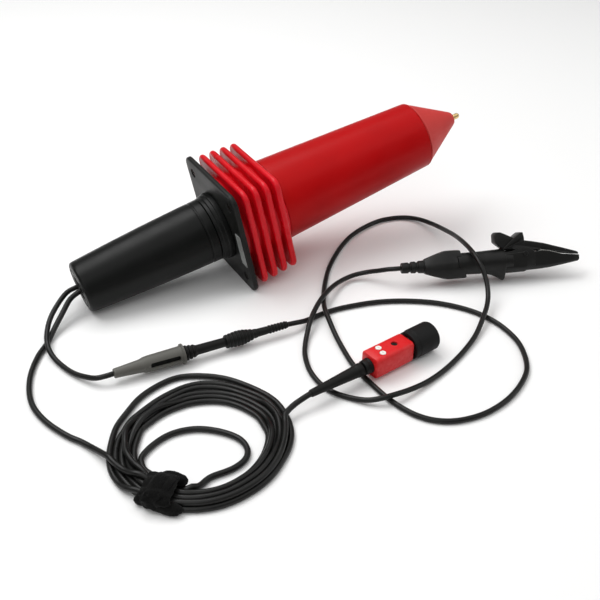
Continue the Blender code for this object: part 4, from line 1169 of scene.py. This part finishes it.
def make_bnc():
    boot = [(-47.6, 1.95), (-47.6, 2.2), (-47.0, 2.5), (-34.0, 3.1), (-20.0, 3.8),
            (-11.4, 4.2), (-10.8, 4.5), (-7.4, 4.6), (-6.6, 4.2), (-6.6, 1.95)]
    boot_piece = finished("bnc_tapered_boot", lathe(boot, 64, closed=True, fillet=0.4), BOOT,
                          "rubber", ["bnc_boot"])
    neck = [(-5.8, 0), (-5.8, 4.5), (-5.2, 4.9), (-2.8, 5.1), (-2.4, 4.9), (-2.0, 4.9),
            (-1.6, 5.2), (-0.3, 5.4), (-0.3, 0)]
    neck_piece = finished("bnc_neck_ring", lathe(neck, 64, fillet=0.3), BNC, "rubber",
                          ["bnc_neck"])
    seam = -1.0
    lower = box_half(-7.75, seam - 0.03, True)
    lower_piece = finished("box_bottom_shell", lower, BNC, "box", ["box_lower"])
    upper = box_half(seam + 0.03, 7.75, False)
    holes = []
    for body, x, y in TRIMMERS.values():
        hole = lathe([(5.0, 0), (5.0, 2.25), (7.5, 2.25), (9.0, 3.75), (9.0, 0)], 40, fillet=0)
        holes.append(upright(hole, x, y))
    upper_piece = finished("box_top_shell", carved(upper, *holes), BNC, "box",
                           ["box_upper"])
    for name, (body, x, y) in TRIMMERS.items():
        sunk = name == "trimmer_offset"
        top = 6.9 if sunk else 7.9
        spindle = lathe([(-1.1, 0), (-1.1, 1.6), (top - 1.4, 1.6), (top - 1.2, 2.1),
                         (top - 0.15, 2.1), (top, 1.9), (top, 0)], 40, fillet=0.12)
        slot = brick((0.9, 2.3, 0.42), (top, 0, 0))
        shape = upright(carved(spindle, slot), x, y)
        finished(name + "_spindle", shape, BNC, "dark_screw" if sunk else "white",
                 [name], body=body)
    start = 33.3
    barrel = [(start, 3.0), (start, 6.2), (start + 3.0, 6.2), (start + 3.0, 4.85),
              (start + 20.3, 4.85), (start + 20.5, 4.6), (start + 20.5, 4.15),
              (start + 4.0, 4.15), (start + 4.0, 3.0)]
    finished("bnc_shell", lathe(barrel, 72, closed=True, fillet=0.2), BNC, "nickel",
             ["bnc_barrel"])
    collar = [(start + 0.3, 6.6), (start + 0.3, 9.3), (start + 0.7, 9.7), (start + 3.9, 9.75),
              (start + 4.5, 10.1), (start + 20.0, 10.1), (start + 21.1, 9.6),
              (start + 21.5, 8.9), (start + 21.5, 6.6), (start + 16.0, 6.6),
              (start + 16.0, 5.2), (start + 3.3, 5.2), (start + 3.3, 6.6)]
    finished("coupling_sleeve", lathe(collar, 96, closed=True, fillet=0.4), BNC, "sleeve",
             ["bnc_collar"], body="coupling")
    return [boot_piece, neck_piece, lower_piece, upper_piece]


# ---------------------------------------------------------------- strap round the coil


def strap_band(width, half_long, half_tall, middle, thick, skew, seed):
    """A thick, crumpled band round the bundle: X across the coil, Y along the cord."""
    shape = bmesh.new()
    around = 72
    across = 14
    layers = []
    for side in (0, 1):
        grid = []
        for j in range(across + 1):
            share = j / across * 2 - 1
            row = []
            for k in range(around):
                angle = 2 * math.pi * k / around
                x = math.copysign(abs(math.cos(angle)) ** 0.72, math.cos(angle)) * half_long
                z = math.copysign(abs(math.sin(angle)) ** 0.72, math.sin(angle)) * half_tall
                out = Vector((x, 0, z)).normalized()
                spot = Vector((math.cos(angle) * 2.1, share * 1.6, math.sin(angle) * 1.7 + seed))
                lump = 1.5 * noise.noise(spot) + 0.7 * noise.noise(spot * 2.3)
                swell = side * (thick + 0.5 * lump - 0.5 * share ** 4)
                edge = 1.0 - 0.10 * share * share
                place = Vector((x * edge, 0, z * edge)) + out * (swell + lump * 0.5)
                place.y = (share * width / 2 + place.x * skew
                           + 0.9 * noise.noise(spot * 1.4 + Vector((5, 3, 1))))
                place.z = max(place.z + middle, 0.15 if side else 0.5)
                row.append(shape.verts.new(place))
            grid.append(row)
        layers.append(grid)
    ring_faces(shape, layers[1] + layers[0][::-1], closed=True)
    return shape


def pad(centre, half, seed):
    """A soft, lumpy fold of the strap."""
    shape = bmesh.new()
    rings = []
    for i in range(13):
        lift = math.pi * i / 12
        ring = []
        for k in range(1 if i in (0, 12) else 28):
            angle = 2 * math.pi * k / 28
            out = Vector((math.sin(lift) * math.cos(angle), math.cos(lift),
                          math.sin(lift) * math.sin(angle)))
            full = Vector([math.copysign(abs(value) ** 0.8, value) for value in out])
            grow = 1 + 0.16 * noise.noise(out * 1.7 + Vector((seed, 0, 0)))
            place = Vector([full[axis] * half[axis] * grow + centre[axis] for axis in range(3)])
            place.z = max(place.z, 0.15)
            ring.append(shape.verts.new(place))
        rings.append(ring)
    ring_faces(shape, rings)
    return shape


def make_strap():
    centre = Vector((COIL_CENTRE[0], COIL_CENTRE[1], 0))
    centre += Vector((math.cos(TIE_ANGLE), math.sin(TIE_ANGLE), 0)) * STRAP_R
    place = placed(centre, (TIE_ANGLE, "Z"))
    under = moved(strap_band(18.5, 9.8, 5.3, 5.9, 1.6, 0.06, 0.0),
                  Matrix.Translation((0.8, -4.6, 0)))
    over = moved(strap_band(12.5, 10.6, 5.8, 6.2, 1.7, -0.16, 7.0),
                 Matrix.Translation((0.8, -4.0, 0)))
    folds = [pad((-8.6, -0.6, 8.0), (3.4, 8.0, 3.8), 2.0),
             pad((-9.4, 3.4, 6.6), (2.8, 4.4, 3.2), 5.0),
             pad((9.6, 2.4, 3.8), (3.6, 9.2, 3.6), 9.0),
             pad((7.2, -13.6, 3.4), (3.6, 4.0, 3.2), 14.0)]
    finished("coil_strap", joined(under, over, *folds), place, "strap", ["coil_tie"])


# ---------------------------------------------------------------- build

HIDDEN_NODES = {
    "brass": ("tip_socket", "resistor_cap_front", "resistor_cap_rear", "divider_capacitor",
              "bnc_pin"),
    "ceramic": ("resistor_rod", "divider_resistor"),
    "insulator": ("resistor_tube", "tube_spacer_rear", "tube_spacer_front", "bnc_insulator"),
    "board": ("divider_board", "compensation_board"),
    "nickel": ("cable_clamp",),
    "rubber": ("socket_sleeve",)}


def finish_hidden_nodes():
    """CAD pieces inside the shells keep their shape and get a detailed finish."""
    for finish, nodes in HIDDEN_NODES.items():
        for node in nodes:
            mesh = bpy.data.objects[node].data
            mesh.materials.clear()
            mesh.materials.append(FINISHES[finish])


make_handle()
make_guard()
make_fins()
make_label()
make_barrel()
socket = make_socket()
plug_pieces = make_plug()
clip_pieces = make_clip()
bnc_pieces = make_bnc()
make_strap()
finish_hidden_nodes()
